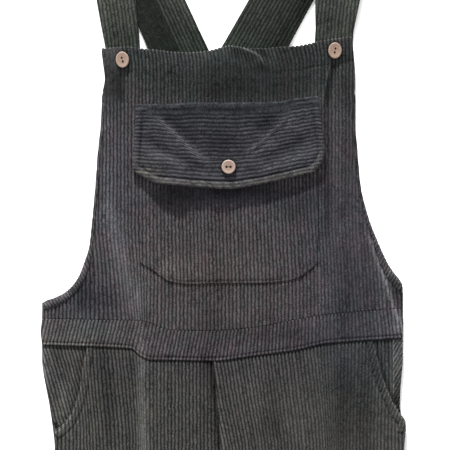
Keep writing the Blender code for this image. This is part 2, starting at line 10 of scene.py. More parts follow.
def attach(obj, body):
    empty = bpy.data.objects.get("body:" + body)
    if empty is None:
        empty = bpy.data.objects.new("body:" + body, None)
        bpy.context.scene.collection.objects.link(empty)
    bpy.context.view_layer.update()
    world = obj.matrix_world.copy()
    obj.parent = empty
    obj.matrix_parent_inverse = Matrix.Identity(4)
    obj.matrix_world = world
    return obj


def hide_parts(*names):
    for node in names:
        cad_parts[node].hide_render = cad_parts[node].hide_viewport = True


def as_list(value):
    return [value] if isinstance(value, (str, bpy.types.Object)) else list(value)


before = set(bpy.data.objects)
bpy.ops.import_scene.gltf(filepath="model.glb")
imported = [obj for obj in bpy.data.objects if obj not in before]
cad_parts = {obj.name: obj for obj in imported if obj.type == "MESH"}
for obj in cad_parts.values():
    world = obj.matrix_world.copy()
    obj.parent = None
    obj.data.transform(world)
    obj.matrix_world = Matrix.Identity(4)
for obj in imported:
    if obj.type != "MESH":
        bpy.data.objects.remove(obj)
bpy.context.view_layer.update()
print("overalls: frame loaded")

# Lengths are metres, the viewer's left is -x, +y runs up the garment and z is up from the table
cord = {
    "wale": 0.00423,  # from one groove to the next
    "ribHeight": 0.00095,
    "body": 0.0009,  # under the ribs
    "facesPerRib": 4,
    "rowStep": 0.006,  # between the mesh rows that cross the ribs, where they show
    "plainStep": 0.0095,  # and where they don't
    "edgeRoll": 0.0009,
    "wallHeights": (1.0, 0.8, 0.36),  # of the top and the two rings of a rolled edge
    "weld": 0.00022,
}
stitch = {"dent": 0.0011, "mark": 0.0009}  # half widths of a stitched line's dent and its dark thread
lieOn = 0.0004  # between a piece and the one that it lies on
seamGap = 0.0003


def metres(values):
    # A table in millimetres, as metres
    return tuple(metres(value) if isinstance(value, tuple) else value / 1000 for value in values)


def tableOf(kind, *rows, lengths=None):
    # Named rows from plain ones, whose first columns, or all, are in millimetres
    return tuple(kind(*metres(row[:lengths]), *(row[lengths:] if lengths else ())) for row in rows)


def smoothStep(low, high, value):
    share = np.clip((value - low) / (high - low), 0, 1)
    return share * share * (3 - 2 * share)


def lineAt(distance, middle, width):
    # 1 along a line at a distance from an edge, fading to both sides
    return np.exp(-(((distance - middle) / width) ** 2))


def spotAt(x, y, spot):
    # 1 in the middle of a soft patch
    return np.exp(-(((x - spot.x) / spot.reachX) ** 2) - ((y - spot.y) / spot.reachY) ** 2)


def through(places, values, at):
    # A smooth curve through a table's values that never overshoots them
    places, values, at = (np.asarray(item, float) for item in (places, values, at))
    if places[0] > places[-1]:
        places, values = places[::-1], values[::-1]
    steps = np.diff(places)
    secants = np.diff(values, axis=0) / steps.reshape(-1, *[1] * (values.ndim - 1))
    before, after = secants[:-1], secants[1:]
    together = np.where(before + after == 0, 1, before + after)
    middle = np.where(before * after > 0, 2 * before * after / together, 0)
    slopes = np.concatenate([secants[:1], middle, secants[-1:]])
    index = np.clip(np.searchsorted(places, at) - 1, 0, len(places) - 2)
    share = np.clip((at - places[index]) / steps[index], 0, 1)
    back = 1 - share
    # Where the table has several columns, each point has its own
    column = (np.arange(at.size),) * (values.ndim - 1)
    here, ahead = (index, *column), (index + 1, *column)
    ends = values[here] * back * back * (1 + 2 * share) + values[ahead] * share * share * (1 + 2 * back)
    return ends + steps[index] * share * back * (slopes[here] * back - slopes[ahead] * share)


def curveOf(table):
    places, values = zip(*table)
    return lambda at: through(places, values, at)


def columnOf(table, column):
    # A column of a table of named rows, at any height
    return curveOf([(row.y, getattr(row, column)) for row in table])


def level(height):
    return lambda x: np.full_like(np.asarray(x, float), height)


def softLine(points, spacing=0.003):
    # The same curve through points in a plane or in space, as closely spaced points
    points = np.asarray(points, float)
    run = np.concatenate([[0], np.cumsum(np.linalg.norm(np.diff(points, axis=0), axis=1))])
    at = np.linspace(0, run[-1], max(2, math.ceil(run[-1] / spacing) + 1))
    return np.stack([through(run, column, at) for column in points.T], 1)


def closeLine(*runs):
    # A closed outline from runs that share their end points
    return np.concatenate([run[:-1] for run in runs])


def withHeights(columnX, curve):
    return np.stack([columnX, curve(columnX)], 1)


def insideOf(line, points):
    x, y = points.T
    inside = np.zeros(len(points), bool)
    for (ax, ay), (bx, by) in zip(line, np.roll(line, -1, axis=0)):
        if ay != by:
            inside ^= ((ay > y) != (by > y)) & (x < (bx - ax) * (y - ay) / (by - ay) + ax)
    return inside


def nearestOn(line, points, closed=True):
    # For each point: the stretch of the line nearest to it, how far along, and the way and distance from it
    start = line if closed else line[:-1]
    run = np.roll(line, -1, axis=0) - line if closed else np.diff(line, axis=0)
    lengths = np.maximum((run * run).sum(1), 1e-18)
    found = []
    for part in np.array_split(points, max(1, len(points) // 4000)):
        offset = part[:, None] - start[None]
        share = np.clip((offset * run).sum(-1) / lengths, 0, 1)
        away = offset - share[..., None] * run
        gap = np.linalg.norm(away, axis=-1)
        segment = gap.argmin(1)
        nearest = np.arange(len(part)), segment
        found.append((segment, share[nearest], away[nearest], gap[nearest]))
    return [np.concatenate(column) for column in zip(*found)]


def distanceFrom(line, closed=True):
    return lambda x, y: nearestOn(line, np.stack([x, y], 1), closed)[3]


def insetLine(line, distance):
    # The outline moved inwards, its corners kept
    following = np.roll(line, -1, axis=0) - line
    following /= np.maximum(np.linalg.norm(following, axis=1, keepdims=True), 1e-12)
    arriving = np.roll(following, 1, axis=0)
    area = (line[:, 0] * np.roll(line[:, 1], -1) - np.roll(line[:, 0], -1) * line[:, 1]).sum()
    side = 1 if area > 0 else -1
    corner = sum(np.stack([-way[:, 1], way[:, 0]], 1) * side for way in (following, arriving))
    scale = 2 / np.maximum((corner * corner).sum(1, keepdims=True), 0.6)
    return line + corner * scale * np.broadcast_to(distance, len(line))[:, None]


def onLine(line, segment, share):
    start, end = line[segment], np.roll(line, -1, axis=0)[segment]
    return start + (end - start) * share[:, None]


def ribRelief(across):
    return np.abs(np.sin(np.pi * across / cord["wale"])) ** 0.7


# A crease runs along points, is so wide to the left and right of them, and rises or dips by height;
# the value after height paints light or shade along it, over napWidth where that differs
Crease = namedtuple("Crease", "points left right height nap napWidth", defaults=(None,))
# A soft patch painted lighter or darker, and one painted a cooler or a greener tint for how the light falls
Patch = namedtuple("Patch", "x y reachX reachY tone")
Cast = namedtuple("Cast", "x y reachX reachY cool green")


def creaseRows(*rows):
    # Lengths are in millimetres
    return tuple(Crease(*metres(row[:4]), row[4], *metres(row[5:])) for row in rows)


def creaseField(crease, x, y, left, right):
    # 1 along the crease's line, fading to its ends and to each side
    field = np.zeros_like(x)
    line = softLine(crease.points, 0.006)
    reach = 2.3 * max(left, right)
    low, high = line.min(0) - reach, line.max(0) + reach
    near = np.flatnonzero((x > low[0]) & (x < high[0]) & (y > low[1]) & (y < high[1]))
    if not len(near):
        return field
    run = np.diff(line, axis=0)
    nearest, share, away, gap = nearestOn(line, np.stack([x[near], y[near]], 1), False)
    side = run[nearest, 0] * away[:, 1] - run[nearest, 1] * away[:, 0]
    along = (nearest + share) / len(run)
    ends = smoothStep(0, 0.22, along) * smoothStep(0, 0.22, 1 - along)
    field[near] = ends * lineAt(gap, 0, np.where(side > 0, left, right))
    return field


def creaseHeight(creases, x, y):
    height = np.zeros_like(x)
    for crease in creases:
        if crease.height:
            height += crease.height * creaseField(crease, x, y, crease.left, crease.right)
    return height


def creaseLightAndShade(creases, x, y):
    # Painted light and shade along the creases, and how far the wales are rubbed into each other
    tone, rubbed = np.zeros_like(x), np.zeros_like(x)
    for crease in creases:
        if crease.nap:
            left, right = crease.napWidth or crease.left, crease.napWidth or crease.right
            shade = crease.nap * creaseField(crease, x, y, left, right)
            tone += shade
            rubbed = np.maximum(rubbed, shade)
    return tone, rubbed


def patchTone(patches, x, y):
    return sum((patch.tone * spotAt(x, y, patch) for patch in patches), np.zeros_like(x))


# Tints painted on the front for how the light falls on it
frontLightingTints = tableOf(Cast,
    # The bib's top
    (0, 332, 180, 44, 0.12, 0.095),
    # Down its sides
    (-128, 190, 22, 90, 0.1, 0.005), (130, 130, 55, 85, 0.12, 0),
    # Under the flap, the cooler tint of its painted shadow
    (10, 178, 100, 12, 0.2, -0.01), (-155, 60, 35, 32, 0.14, 0.01),
    # Warmer towards the waist
    (-10, 90, 85, 50, -0.09, 0), (-165, 22, 60, 16, 0.02, 0.055), (150, -5, 50, 50, 0.14, -0.01),
    (0, -20, 230, 24, 0.02, -0.04), (60, -90, 90, 60, -0.04, -0.01), (170, 20, 50, 60, 0.06, 0.01),
    lengths=4,
)


def lightingTintAt(x, y):
    cool = sum(cast.cool * spotAt(x, y, cast) for cast in frontLightingTints)
    green = sum(cast.green * spotAt(x, y, cast) for cast in frontLightingTints)
    return np.stack([1 - (cool + green) / 2, 1 + green, 1 + (cool - green) / 2], 1)


def rowsBetween(low, high, step, fine=(), fineStep=0.0011, fineReach=0.0034):
    # Mesh rows across the ribs, closer together beside each seam
    rows = [*np.arange(low, high, step), high]
    for seam in fine:
        rows += [*np.arange(seam - fineReach, seam + fineReach + 1e-9, fineStep)]
    rows = sorted(row for row in rows if low <= row <= high)
    kept = rows[:1]
    for row in rows[1:]:
        if row - kept[-1] > 0.0009:
            kept.append(row)
    return np.array(kept)


def meshFrom(bm, name):
    mesh = bpy.data.meshes.new(name)
    bm.to_mesh(mesh)
    bm.free()
    mesh.shade_smooth()
    return mesh


def moveVerts(bm, spots):
    for vert, spot in zip(bm.verts, spots):
        vert.co = spot


def paint(mesh, name, colours):
    layer = mesh.attributes.new(name, "FLOAT_COLOR", "POINT")
    layer.data.foreach_set("color", colours.astype(np.float32).ravel())


def ribbedGrid(outline, inner, rows):
    # A flat sheet cut along its outline, with its mesh along the ribs, made into an upper and a lower
    # face with walls between them
    wale, perRib = cord["wale"], cord["facesPerRib"]
    firstRib = math.floor(outline[:, 0].min() / wale)
    columns = (math.ceil(outline[:, 0].max() / wale) - firstRib) * perRib
    bm = bmesh.new()
    bmesh.ops.create_grid(bm, x_segments=columns, y_segments=len(rows) - 1, size=1)
    flat = np.array([vert.co for vert in bm.verts])
    flat[:, 0] = firstRib * wale + np.rint((flat[:, 0] + 1) / 2 * columns) * wale / perRib
    flat[:, 1] = rows[np.rint((flat[:, 1] + 1) / 2 * (len(rows) - 1)).astype(int)]
    inside = insideOf(inner, flat[:, :2])
    kept, beyond = np.zeros(len(flat), bool), []
    for face in bm.faces:
        corners = [vert.index for vert in face.verts]
        if inside[corners].any():
            kept[corners] = True
        else:
            beyond.append(face)
    snapped = np.flatnonzero(kept & ~inside)
    flat[snapped, :2] = onLine(inner, *nearestOn(inner, flat[snapped, :2])[:2])
    moveVerts(bm, flat)
    bmesh.ops.delete(bm, geom=beyond, context="FACES")
    bmesh.ops.remove_doubles(bm, verts=bm.verts, dist=cord["weld"])
    raised = bmesh.ops.extrude_face_region(bm, geom=bm.faces[:])["geom"]
    topVerts = [item for item in raised if isinstance(item, bmesh.types.BMVert)]
    bmesh.ops.translate(bm, verts=topVerts, vec=(0, 0, 1))
    walls = [edge for edge in bm.edges if abs(edge.verts[0].co.z - edge.verts[1].co.z) > 0.5]
    bmesh.ops.subdivide_edges(bm, edges=walls, cuts=2)
    bmesh.ops.recalc_face_normals(bm, faces=bm.faces)
    return bm


def clothMesh(name, outline, rows, place, look, style):
    # Cuts a piece from a ribbed sheet, rolls its edge and places it. The outline is in the sheet's own
    # plane: across the ribs, then along them.
    roll = style["rollAt"](outline) if "rollAt" in style else style.get("edgeRoll", cord["edgeRoll"])
    inner = insetLine(outline, roll)
    bm = ribbedGrid(outline, inner, rows)
    flat = np.array([vert.co for vert in bm.verts])
    storey = flat[:, 2]
    ring = np.flatnonzero((storey > 0.1) & (storey < 0.9))
    nearest = nearestOn(inner, flat[ring, :2])[:2]
    reach = np.where(storey[ring] < 0.5, 1, 0.85)
    if "scallop" in style:
        reach = reach + style["scallop"](*flat[ring, :2].T) * (ribRelief(flat[ring, 0]) - 0.6)
    flat[ring, :2] += (onLine(outline, *nearest) - onLine(inner, *nearest)) * reach[:, None]
    across, along = flat[:, 0], flat[:, 1]
    relief = ribRelief(across) * cord["ribHeight"] * style.get("relief", 1)
    if "flatten" in style:
        relief = relief * style["flatten"](across, along)
    shares = np.select([storey > 0.9, storey > 0.5, storey > 0.1], cord["wallHeights"], 0)
    height = (style.get("body", cord["body"]) + relief) * shares
    if style.get("ribsBelow"):
        height = np.select([storey < 0.1, storey < 0.5], [-relief, -0.3 * relief], height)
    spots = place(across, along, height)
    moveVerts(bm, spots)
    if bm.calc_volume(signed=True) < 0:
        bmesh.ops.reverse_faces(bm, faces=bm.faces)
    bm.verts.index_update()
    mesh = meshFrom(bm, name)
    corners = np.empty(len(mesh.loops), int)
    mesh.loops.foreach_get("vertex_index", corners)
    ribPlaces = np.stack([across / cord["wale"], along], 1)[corners]
    mesh.uv_layers.new(name="ribs").data.foreach_set("uv", ribPlaces.astype(np.float32).ravel())
    x, y = spots[:, 0], spots[:, 1]
    # Each point's painted light and shade, rubbed pile and wear, and its painted light tint
    tone, rubbed, worn = look(x, y, across, along)
    shades = np.stack(np.broadcast_arrays(0.5 + 0.5 * tone, rubbed, worn, 1.0), 1)
    paint(mesh, "nap", np.clip(shades, 0, 1))
    paint(mesh, "cast", np.insert(lightingTintAt(x, y) / 2, 3, 1, axis=1))
    return mesh


def addObject(name, data):
    made = bpy.data.objects.new(name, data)
    bpy.context.scene.collection.objects.link(made)
    return made


def addPiece(mesh, material, cadNode, cut, restsOn, area=None, held="laid"):
    # Puts the piece in the scene in place of its plain solid
    piece = addObject(mesh.name, mesh)
    mesh.materials.append(material)
    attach(piece, "root")
    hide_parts(cadNode)
    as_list(restsOn)
    print(f"overalls: {mesh.name}, {sum(len(face.vertices) - 2 for face in mesh.polygons)} triangles")


def feed(tree, target, inputs):
    # Links the sockets among the values to the node's inputs, and sets the others
    for socket, value in inputs.items():
        if isinstance(value, bpy.types.NodeSocket):
            tree.links.new(value, target.inputs[socket])
        else:
            target.inputs[socket].default_value = value
    return target


def node(tree, kind, inputs=None, **settings):
    made = tree.nodes.new(kind)
    for key, value in settings.items():
        setattr(made, key, value)
    return feed(tree, made, inputs or {})


def remap(tree, value, fromLow, fromHigh, toLow, toHigh):
    inputs = {"Value": value, "From Min": fromLow, "From Max": fromHigh, "To Min": toLow, "To Max": toHigh}
    return node(tree, "ShaderNodeMapRange", inputs, interpolation_type="SMOOTHSTEP").outputs[0]


def mixColour(tree, share, first, second, blend="MIX"):
    made = node(tree, "ShaderNodeMix", data_type="RGBA", blend_type=blend)
    return feed(tree, made, {0: share, 6: first, 7: second}).outputs[2]


def noiseAt(tree, vector, scale, detail, **more):
    inputs = {"Vector": vector, "Scale": scale, "Detail": detail, **more}
    return node(tree, "ShaderNodeTexNoise", inputs).outputs[0]


def newMaterial(name, inputs):
    # A material, its node tree and its shader, with these inputs set
    material = bpy.data.materials.new(name)
    material.use_nodes = True
    tree = material.node_tree
    return material, tree, feed(tree, tree.nodes["Principled BSDF"], inputs)


def newGroup(name, inputs, outputs):
    tree = bpy.data.node_groups.new(name, "ShaderNodeTree")
    for socket, (kind, default) in inputs.items():
        made = tree.interface.new_socket(socket, in_out="INPUT", socket_type=f"NodeSocket{kind}")
        if default is not None:
            made.default_value = default
    for socket, kind in outputs.items():
        tree.interface.new_socket(socket, in_out="OUTPUT", socket_type=f"NodeSocket{kind}")
    return tree, tree.nodes.new("NodeGroupInput").outputs, tree.nodes.new("NodeGroupOutput")


def makeCordPile():
    # The pile of corduroy: light wales, grooves painted dark (partly the pile's own colour, partly painted
    # shade), each piece's painted light and shade, and tufts that lie unevenly along each wale
    tree, given, made = newGroup(
        "cordPile",
        {
            "Ribs": ("Vector", None), "Nap": ("Color", (0.5, 0, 0, 1)), "Cast": ("Color", (0.5, 0.5, 0.5, 1)),
            "Wale": ("Color", (0.12, 0.12, 0.12, 1)), "Second Wale": ("Color", (0.12, 0.12, 0.12, 1)),
            "Worn": ("Color", (0.12, 0.11, 0.09, 1)), "Groove Depth": ("Float", 0.6), "Mottle": ("Float", 0.5),
        },
        {"Colour": "Color", "Height": "Float"},
    )

    def sums(operation):
        return lambda *values: node(
            tree, "ShaderNodeMath", dict(enumerate(values)), operation=operation).outputs[0]

    times, plus, less, power, floor = map(sums, ("MULTIPLY", "ADD", "SUBTRACT", "POWER", "FLOOR"))
    highest, size, fraction = map(sums, ("MAXIMUM", "ABSOLUTE", "FRACT"))
    across, along = node(tree, "ShaderNodeSeparateXYZ", {0: given["Ribs"]}).outputs[:2]

    def pileNoise(acrossScale, alongScale, detail, perRib=3.17):
        spot = {0: times(across, acrossScale), 1: times(along, alongScale), 2: times(floor(across), perRib)}
        spot = node(tree, "ShaderNodeCombineXYZ", spot).outputs[0]
        return less(noiseAt(tree, spot, 1, detail, Roughness=0.55), 0.5)

    # Each wale wanders a little from its line
    rib = plus(across, times(pileNoise(0.35, 120, 1, 0), 0.55))
    fromMiddle = size(less(fraction(rib), 0.5))
    groove = remap(tree, times(fromMiddle, 2), 0.12, 0.98, 0, 1)
    ribTone = node(tree, "ShaderNodeTexWhiteNoise", {"W": floor(rib)}, noise_dimensions="1D").outputs["Value"]
    clumps, tufts, fibres = pileNoise(0.6, 150, 2), pileNoise(2.2, 560, 2), pileNoise(6, 1300, 1)
    place = node(tree, "ShaderNodeTexCoord").outputs["Object"]
    clouds = less(noiseAt(tree, place, 14, 4, Roughness=0.62), 0.5)
    hues = remap(tree, noiseAt(tree, place, 46, 5, Roughness=0.78), 0.38, 0.62, 0, 1)
    waleColour = mixColour(tree, hues, given["Wale"], given["Second Wale"])
    lightAndShade, rubbed, worn = node(tree, "ShaderNodeSeparateColor", {0: given["Nap"]}).outputs
    wornUneven = times(worn, remap(tree, clumps, -0.12, 0.1, 0.2, 1))
    waleColour = mixColour(tree, wornUneven, waleColour, given["Worn"])
    # The painted light tint, doubled back to its full strength
    doubled = mixColour(tree, 1, given["Cast"], given["Cast"], blend="ADD")
    waleColour = mixColour(tree, 1, waleColour, doubled, blend="MULTIPLY")
    # Where the pile is rubbed, or a painted shadow hides the ribs, the grooves' dark fills up and the wales
    # blur into each other
    deep = times(times(less(1, times(rubbed, 0.8)), groove), given["Groove Depth"])
    tone = times(less(ribTone, 0.5), 0.3)
    for noise, share in ((clumps, 1.7), (tufts, 2.9), (fibres, 3), (clouds, 1.1)):
        tone = plus(tone, times(noise, share))
    tone = highest(plus(times(tone, given["Mottle"]), 1), 0.3)
    # The piece's painted light and shade
    tone = times(tone, power(2, times(less(lightAndShade, 0.5), 3.6)))
    # Grooves painted dark, partly their own colour and partly painted shade
    tone = times(tone, less(1, deep))
    toneColour = node(tree, "ShaderNodeCombineColor", {0: tone, 1: tone, 2: tone}).outputs[0]
    colour = mixColour(tree, 1, waleColour, toneColour, blend="MULTIPLY")
    feed(tree, made, {"Colour": colour, "Height": plus(times(tufts, 0.6), times(fibres, 0.4))})
    return tree


cordPile = makeCordPile()

# Each piece's copy of the one corduroy: the wales' two tints, painted lighter or darker for how the light falls
# on that piece, and how dark the grooves are
cordTints = {
    "bibCord": {"wale": (0.0521, 0.0445, 0.0482), "second": (0.0439, 0.0434, 0.0453), "depth": 0.73},
    "legCord": {"wale": (0.0456, 0.0446, 0.0412), "second": (0.0397, 0.0405, 0.0395), "depth": 0.77},
    "strapCord": {"wale": (0.0405, 0.042, 0.036), "second": (0.035, 0.038, 0.0345), "depth": 0.62},
    "flapCord": {"wale": (0.0315, 0.0305, 0.0349), "second": (0.0276, 0.0279, 0.0318), "depth": 0.62},
}
cordFinish = {
    "worn": (0.064, 0.059, 0.05), "mottle": 0.7, "roughness": 0.95, "sheen": 0.02, "sheenRoughness": 0.5,
    "sheenTint": (0.75, 0.77, 0.8),
}


def makeCord(name, tint):
    material, tree, shader = newMaterial(name, {
        "Roughness": cordFinish["roughness"], "Specular IOR Level": 0, "Sheen Weight": cordFinish["sheen"],
        "Sheen Roughness": cordFinish["sheenRoughness"], "Sheen Tint": (*cordFinish["sheenTint"], 1),
    })
    nap, cast = (
        node(tree, "ShaderNodeAttribute", attribute_name=name).outputs["Color"] for name in ("nap", "cast")
    )
    inputs = {
        "Ribs": node(tree, "ShaderNodeUVMap", uv_map="ribs").outputs[0], "Nap": nap, "Cast": cast,
        "Wale": (*tint["wale"], 1), "Second Wale": (*tint["second"], 1), "Worn": (*cordFinish["worn"], 1),
        "Groove Depth": tint["depth"], "Mottle": cordFinish["mottle"],
    }
    pile = feed(tree, node(tree, "ShaderNodeGroup", node_tree=cordPile), inputs).outputs
    bump = node(tree, "ShaderNodeBump", {"Strength": 0.35, "Distance": 0.0004, "Height": pile["Height"]})
    feed(tree, shader, {"Base Color": pile["Colour"], "Normal": bump.outputs[0]})
    return material


cords = {name: makeCord(name, tint) for name, tint in cordTints.items()}
print("overalls: corduroy finishes made")

# The garment's outline, from the straps down, as the pattern pieces are cut
bibLeft = metres((
    (-142, 353), (-139.5, 335), (-137.5, 316.5), (-140.5, 300), (-141.5, 270), (-145.7, 228), (-148.5, 189),
    (-152.7, 145), (-155.6, 119.3), (-160.5, 104), (-165, 91.3), (-170, 81.5), (-177, 72.5), (-188, 64),
    (-210.6, 54.5), (-211, 36.8),
))
bibRight = metres((
    (152, 367), (154.5, 345), (156, 320), (156, 300), (156, 270), (158.5, 233), (162, 194), (170.8, 156.8),
    (181.4, 128.7), (189.2, 110.8), (194.2, 100.6), (200.1, 91.3), (203.5, 87), (206.8, 83.2),
    (212.5, 73.5), (210, 48.8),
))
bibTop = metres((
    (-142, 353), (-115, 354.5), (-83, 351.8), (-45, 348), (-18, 350), (8, 355.5), (35, 353), (90, 356),
    (110, 360.5), (152, 367),
))
waistTop = metres((
    (-211, 36.5), (-107, 34), (-95, 33.5), (-83, 30.5), (-60, 22.8), (-10.7, 22), (40, 26.2), (85, 34.8),
    (122, 40.7), (210, 48.5),
))
waistBottom = metres((
    (-211, 6), (-107, 1.8), (-95, -7), (-83, -11.6), (-60, -12), (-10.7, -12.8), (40, -6.8), (85, -0.8),
    (122, 7.3), (210, 14),
))
Leg = namedtuple("Leg", "y leftOuter leftInner rightInner rightOuter")
legTable = tableOf(Leg,
    (15, -211, -11, -11, 210), (-12, -211, -10.5, -10.5, 212), (-30, -209, -8.5, -8.5, 210.5),
    (-49, -205, -7, -7, 209), (-70, -201.5, -5.2, -5.2, 208.5), (-96, -198, -3, -3, 215),
    (-115, -196, -2, -2, 213.5), (-160, -200, 0, 0, 217), (-220, -210, 1.5, 1.5, 226),
    (-262, -216, 2, 2, 231), (-300, -219.5, -10, 16, 234.5), (-380, -224, -22, 30, 238.5),
    (-500, -226, -31, 40, 240.5), (-700, -227, -37, 48, 242), (-935, -228, -41, 53, 243),
)
Mouth = namedtuple("Mouth", "y leftX rightX")
mouthTable = tableOf(Mouth,
    (15, -159, 178), (-18, -163.2, 184.2), (-45, -167, 193.6), (-70, -174.8, 205.2), (-86.5, -184.5, 215),
    (-96, -197.2, 215),
)
mouthFoot = mouthTable[-1].y
hemY = legTable[-1].y
crotchY = -0.262
backSeamY = -0.01
hemStitchIn = 0.03
mouthLines = {side: [(getattr(row, f"{side}X"), row.y) for row in mouthTable] for side in ("left", "right")}

waistTopAt, waistBottomAt, bibTopAt = curveOf(waistTop), curveOf(waistBottom), curveOf(bibTop)
leftEdge, rightEdge = (
    curveOf([(y, x) for x, y in line] + [(row.y, getattr(row, column)) for row in legTable[1:]])
    for line, column in ((bibLeft, "leftOuter"), (bibRight, "rightOuter"))
)


# How the front lies: its height off the table at its side edges and along its middle
Height = namedtuple("Height", "y edge crown")
heightTable = tableOf(Height,
    (367, 3.1, 6), (300, 3.1, 6), (270, 0.8, 6), (140, 0.8, 6), (100, 2, 6), (70, 3.2, 6), (50, 3.4, 5.6),
    (15, 3.6, 5.4), (-45, 5.4, 5.4), (-125, 5.2, 5.4), (-170, 3.4, 5), (-220, 3.4, 4.8), (-300, 3.4, 4.7),
    (-935, 3.4, 4.6),
)
edgeAt, crownAt = columnOf(heightTable, "edge"), columnOf(heightTable, "crown")
edgeRound = 0.03

frontCreases = creaseRows(
    # The soft fold down the left of the front, from beside the pocket to the hip
    (((-138, 185), (-124, 135), (-111, 85), (-101, 20)), 10, 10, 0.8, 0.34),
    (((-99, 75), (-95.5, 35), (-93, -10)), 4, 5, 1.6, 0.18),
    (((-94.5, 30), (-92.5, -60), (-90, -240)), 5.5, 6.5, 2.2, 0.52),
    (((-109, 135), (-105, 70), (-106, 10)), 6, 6, -0.6, -0.12),
    (((-106.5, 0), (-106, -150)), 6, 6, -0.6, -0.12),
    (((-114.4, 325), (-115, 305), (-115.2, 288)), 1.4, 12, -0.3, -0.46),
    # The hollow beside the bib pocket
    (((121.5, 335), (122.5, 280), (123.5, 220), (123, 120)), 5, 4.5, -1.8, -0.45),
    (((132, 342), (127.5, 318), (122.5, 282)), 3.2, 3.2, -1, -0.62),
    (((126.2, 334), (121.2, 312), (116, 284)), 1.6, 1.6, 0.6, 0.5),
    # The shadow line under the pocket's foot, and round its two cut corners
    (((90, 84), (50, 78.5), (5, 78), (-40, 77.2), (-68, 82)), 1.5, 0.3, 0, -0.45),
    (((118, 108), (110, 100), (100, 92), (86, 83), (70, 80)), 1.6, 0.3, 0, -0.62),
    (((-48, 77.5), (-63, 81), (-80, 93), (-95.5, 102), (-101, 106)), 1.6, 0.3, 0, -0.58),
    # The little fold that turns over at the bib's top edge
    (((2, 356.8), (17, 356.2), (28.7, 351.5), (40.5, 346.1), (46.8, 339.4), (52, 327)), 0.9, 9, 2.1, 0),
    (((-4, 356.6), (17, 356), (28.7, 351.2), (40.5, 345.7), (46.8, 339), (52, 327)), 1.2, 1, 0.1, 0.52),
    (((25, 357), (42, 350), (56, 338)), 5, 3, -0.9, -0.2),
    # From the armhole to the side seam on the right
    (((165, 146), (175.5, 121), (181.5, 103), (188.5, 87), (193.2, 72), (197.5, 56)), 2, 4.4, 1.4, 0.62, 2),
    (((193.5, 70), (198.5, 56), (203.5, 41), (211, 30)), 2.4, 4.6, 1.8, 0.56, 2.4),
    (((199, 90), (204.5, 65), (208.5, 44)), 4.4, 4.4, -1.2, -0.32),
    (((160, 115), (168, 70), (174, 30)), 11, 11, -0.9, -0.15),
    # Hollows beside the armhole on the left
    (((-150, 112), (-156, 75), (-173, 36)), 6, 6, -1.1, -0.3),
    (((-143, 240), (-147, 150)), 3.5, 4, -0.6, -0.15), (((-126, 330), (-127, 230)), 5, 5, -0.6, -0.1),
    # Drag from the waist on the right leg, and soft hollows on both
    (((137.5, 4), (139.5, -80), (139, -180)), 8, 7, -1.2, -0.18),
    (((24, -20), (38, -90), (56, -200)), 8, 7, 0.9, 0.08),
    (((48, -5), (60, -70), (82, -150)), 7, 8, -0.8, -0.1),
    (((80, -30), (96, -110), (112, -210)), 8, 6, 0.7, 0.06),
    (((-127, -15), (-129, -120)), 7, 6, -0.9, -0.16), (((-60, -30), (-54, -110)), 8, 8, -0.6, -0.08),
    (((-30, -100), (-24, -230)), 9, 6, 0.8, 0.06),
    # Lower down: crotch, thigh, knee and hem
    (((-8, -250), (-42, -296), (-88, -330)), 8, 6, 1.6, 0.12),
    (((12, -255), (48, -305), (98, -345)), 6, 8, 1.5, 0.12),
    (((-16, -285), (-60, -362), (-120, -420)), 8, 10, -1.2, -0.12),
    (((24, -290), (66, -375), (126, -440)), 9, 8, -1.2, -0.12),
    (((-196, -300), (-189, -430), (-170, -560)), 8, 8, 1.3, 0.1),
    (((205, -330), (201, -470), (183, -610)), 8, 9, 1.3, 0.1),
    (((-200, -500), (-154, -513), (-108, -535)), 6, 8, 1.4, 0.12),
    (((-50, -555), (-100, -577), (-150, -590)), 7, 6, -1, -0.1),
    (((62, -520), (106, -529), (150, -548)), 7, 7, 1.3, 0.12),
    (((218, -575), (172, -598), (126, -610)), 8, 6, -1, -0.1),
    (((-140, -640), (-139, -790), (-128, -930)), 10, 9, 1.3, 0.1),
    (((148, -660), (146, -800), (134, -930)), 9, 10, 1.2, 0.1),
    (((-80, -720), (-73, -800), (-72, -880)), 8, 8, -0.9, -0.08),
    (((84, -700), (90, -800), (90, -900)), 8, 8, -0.9, -0.08),
)
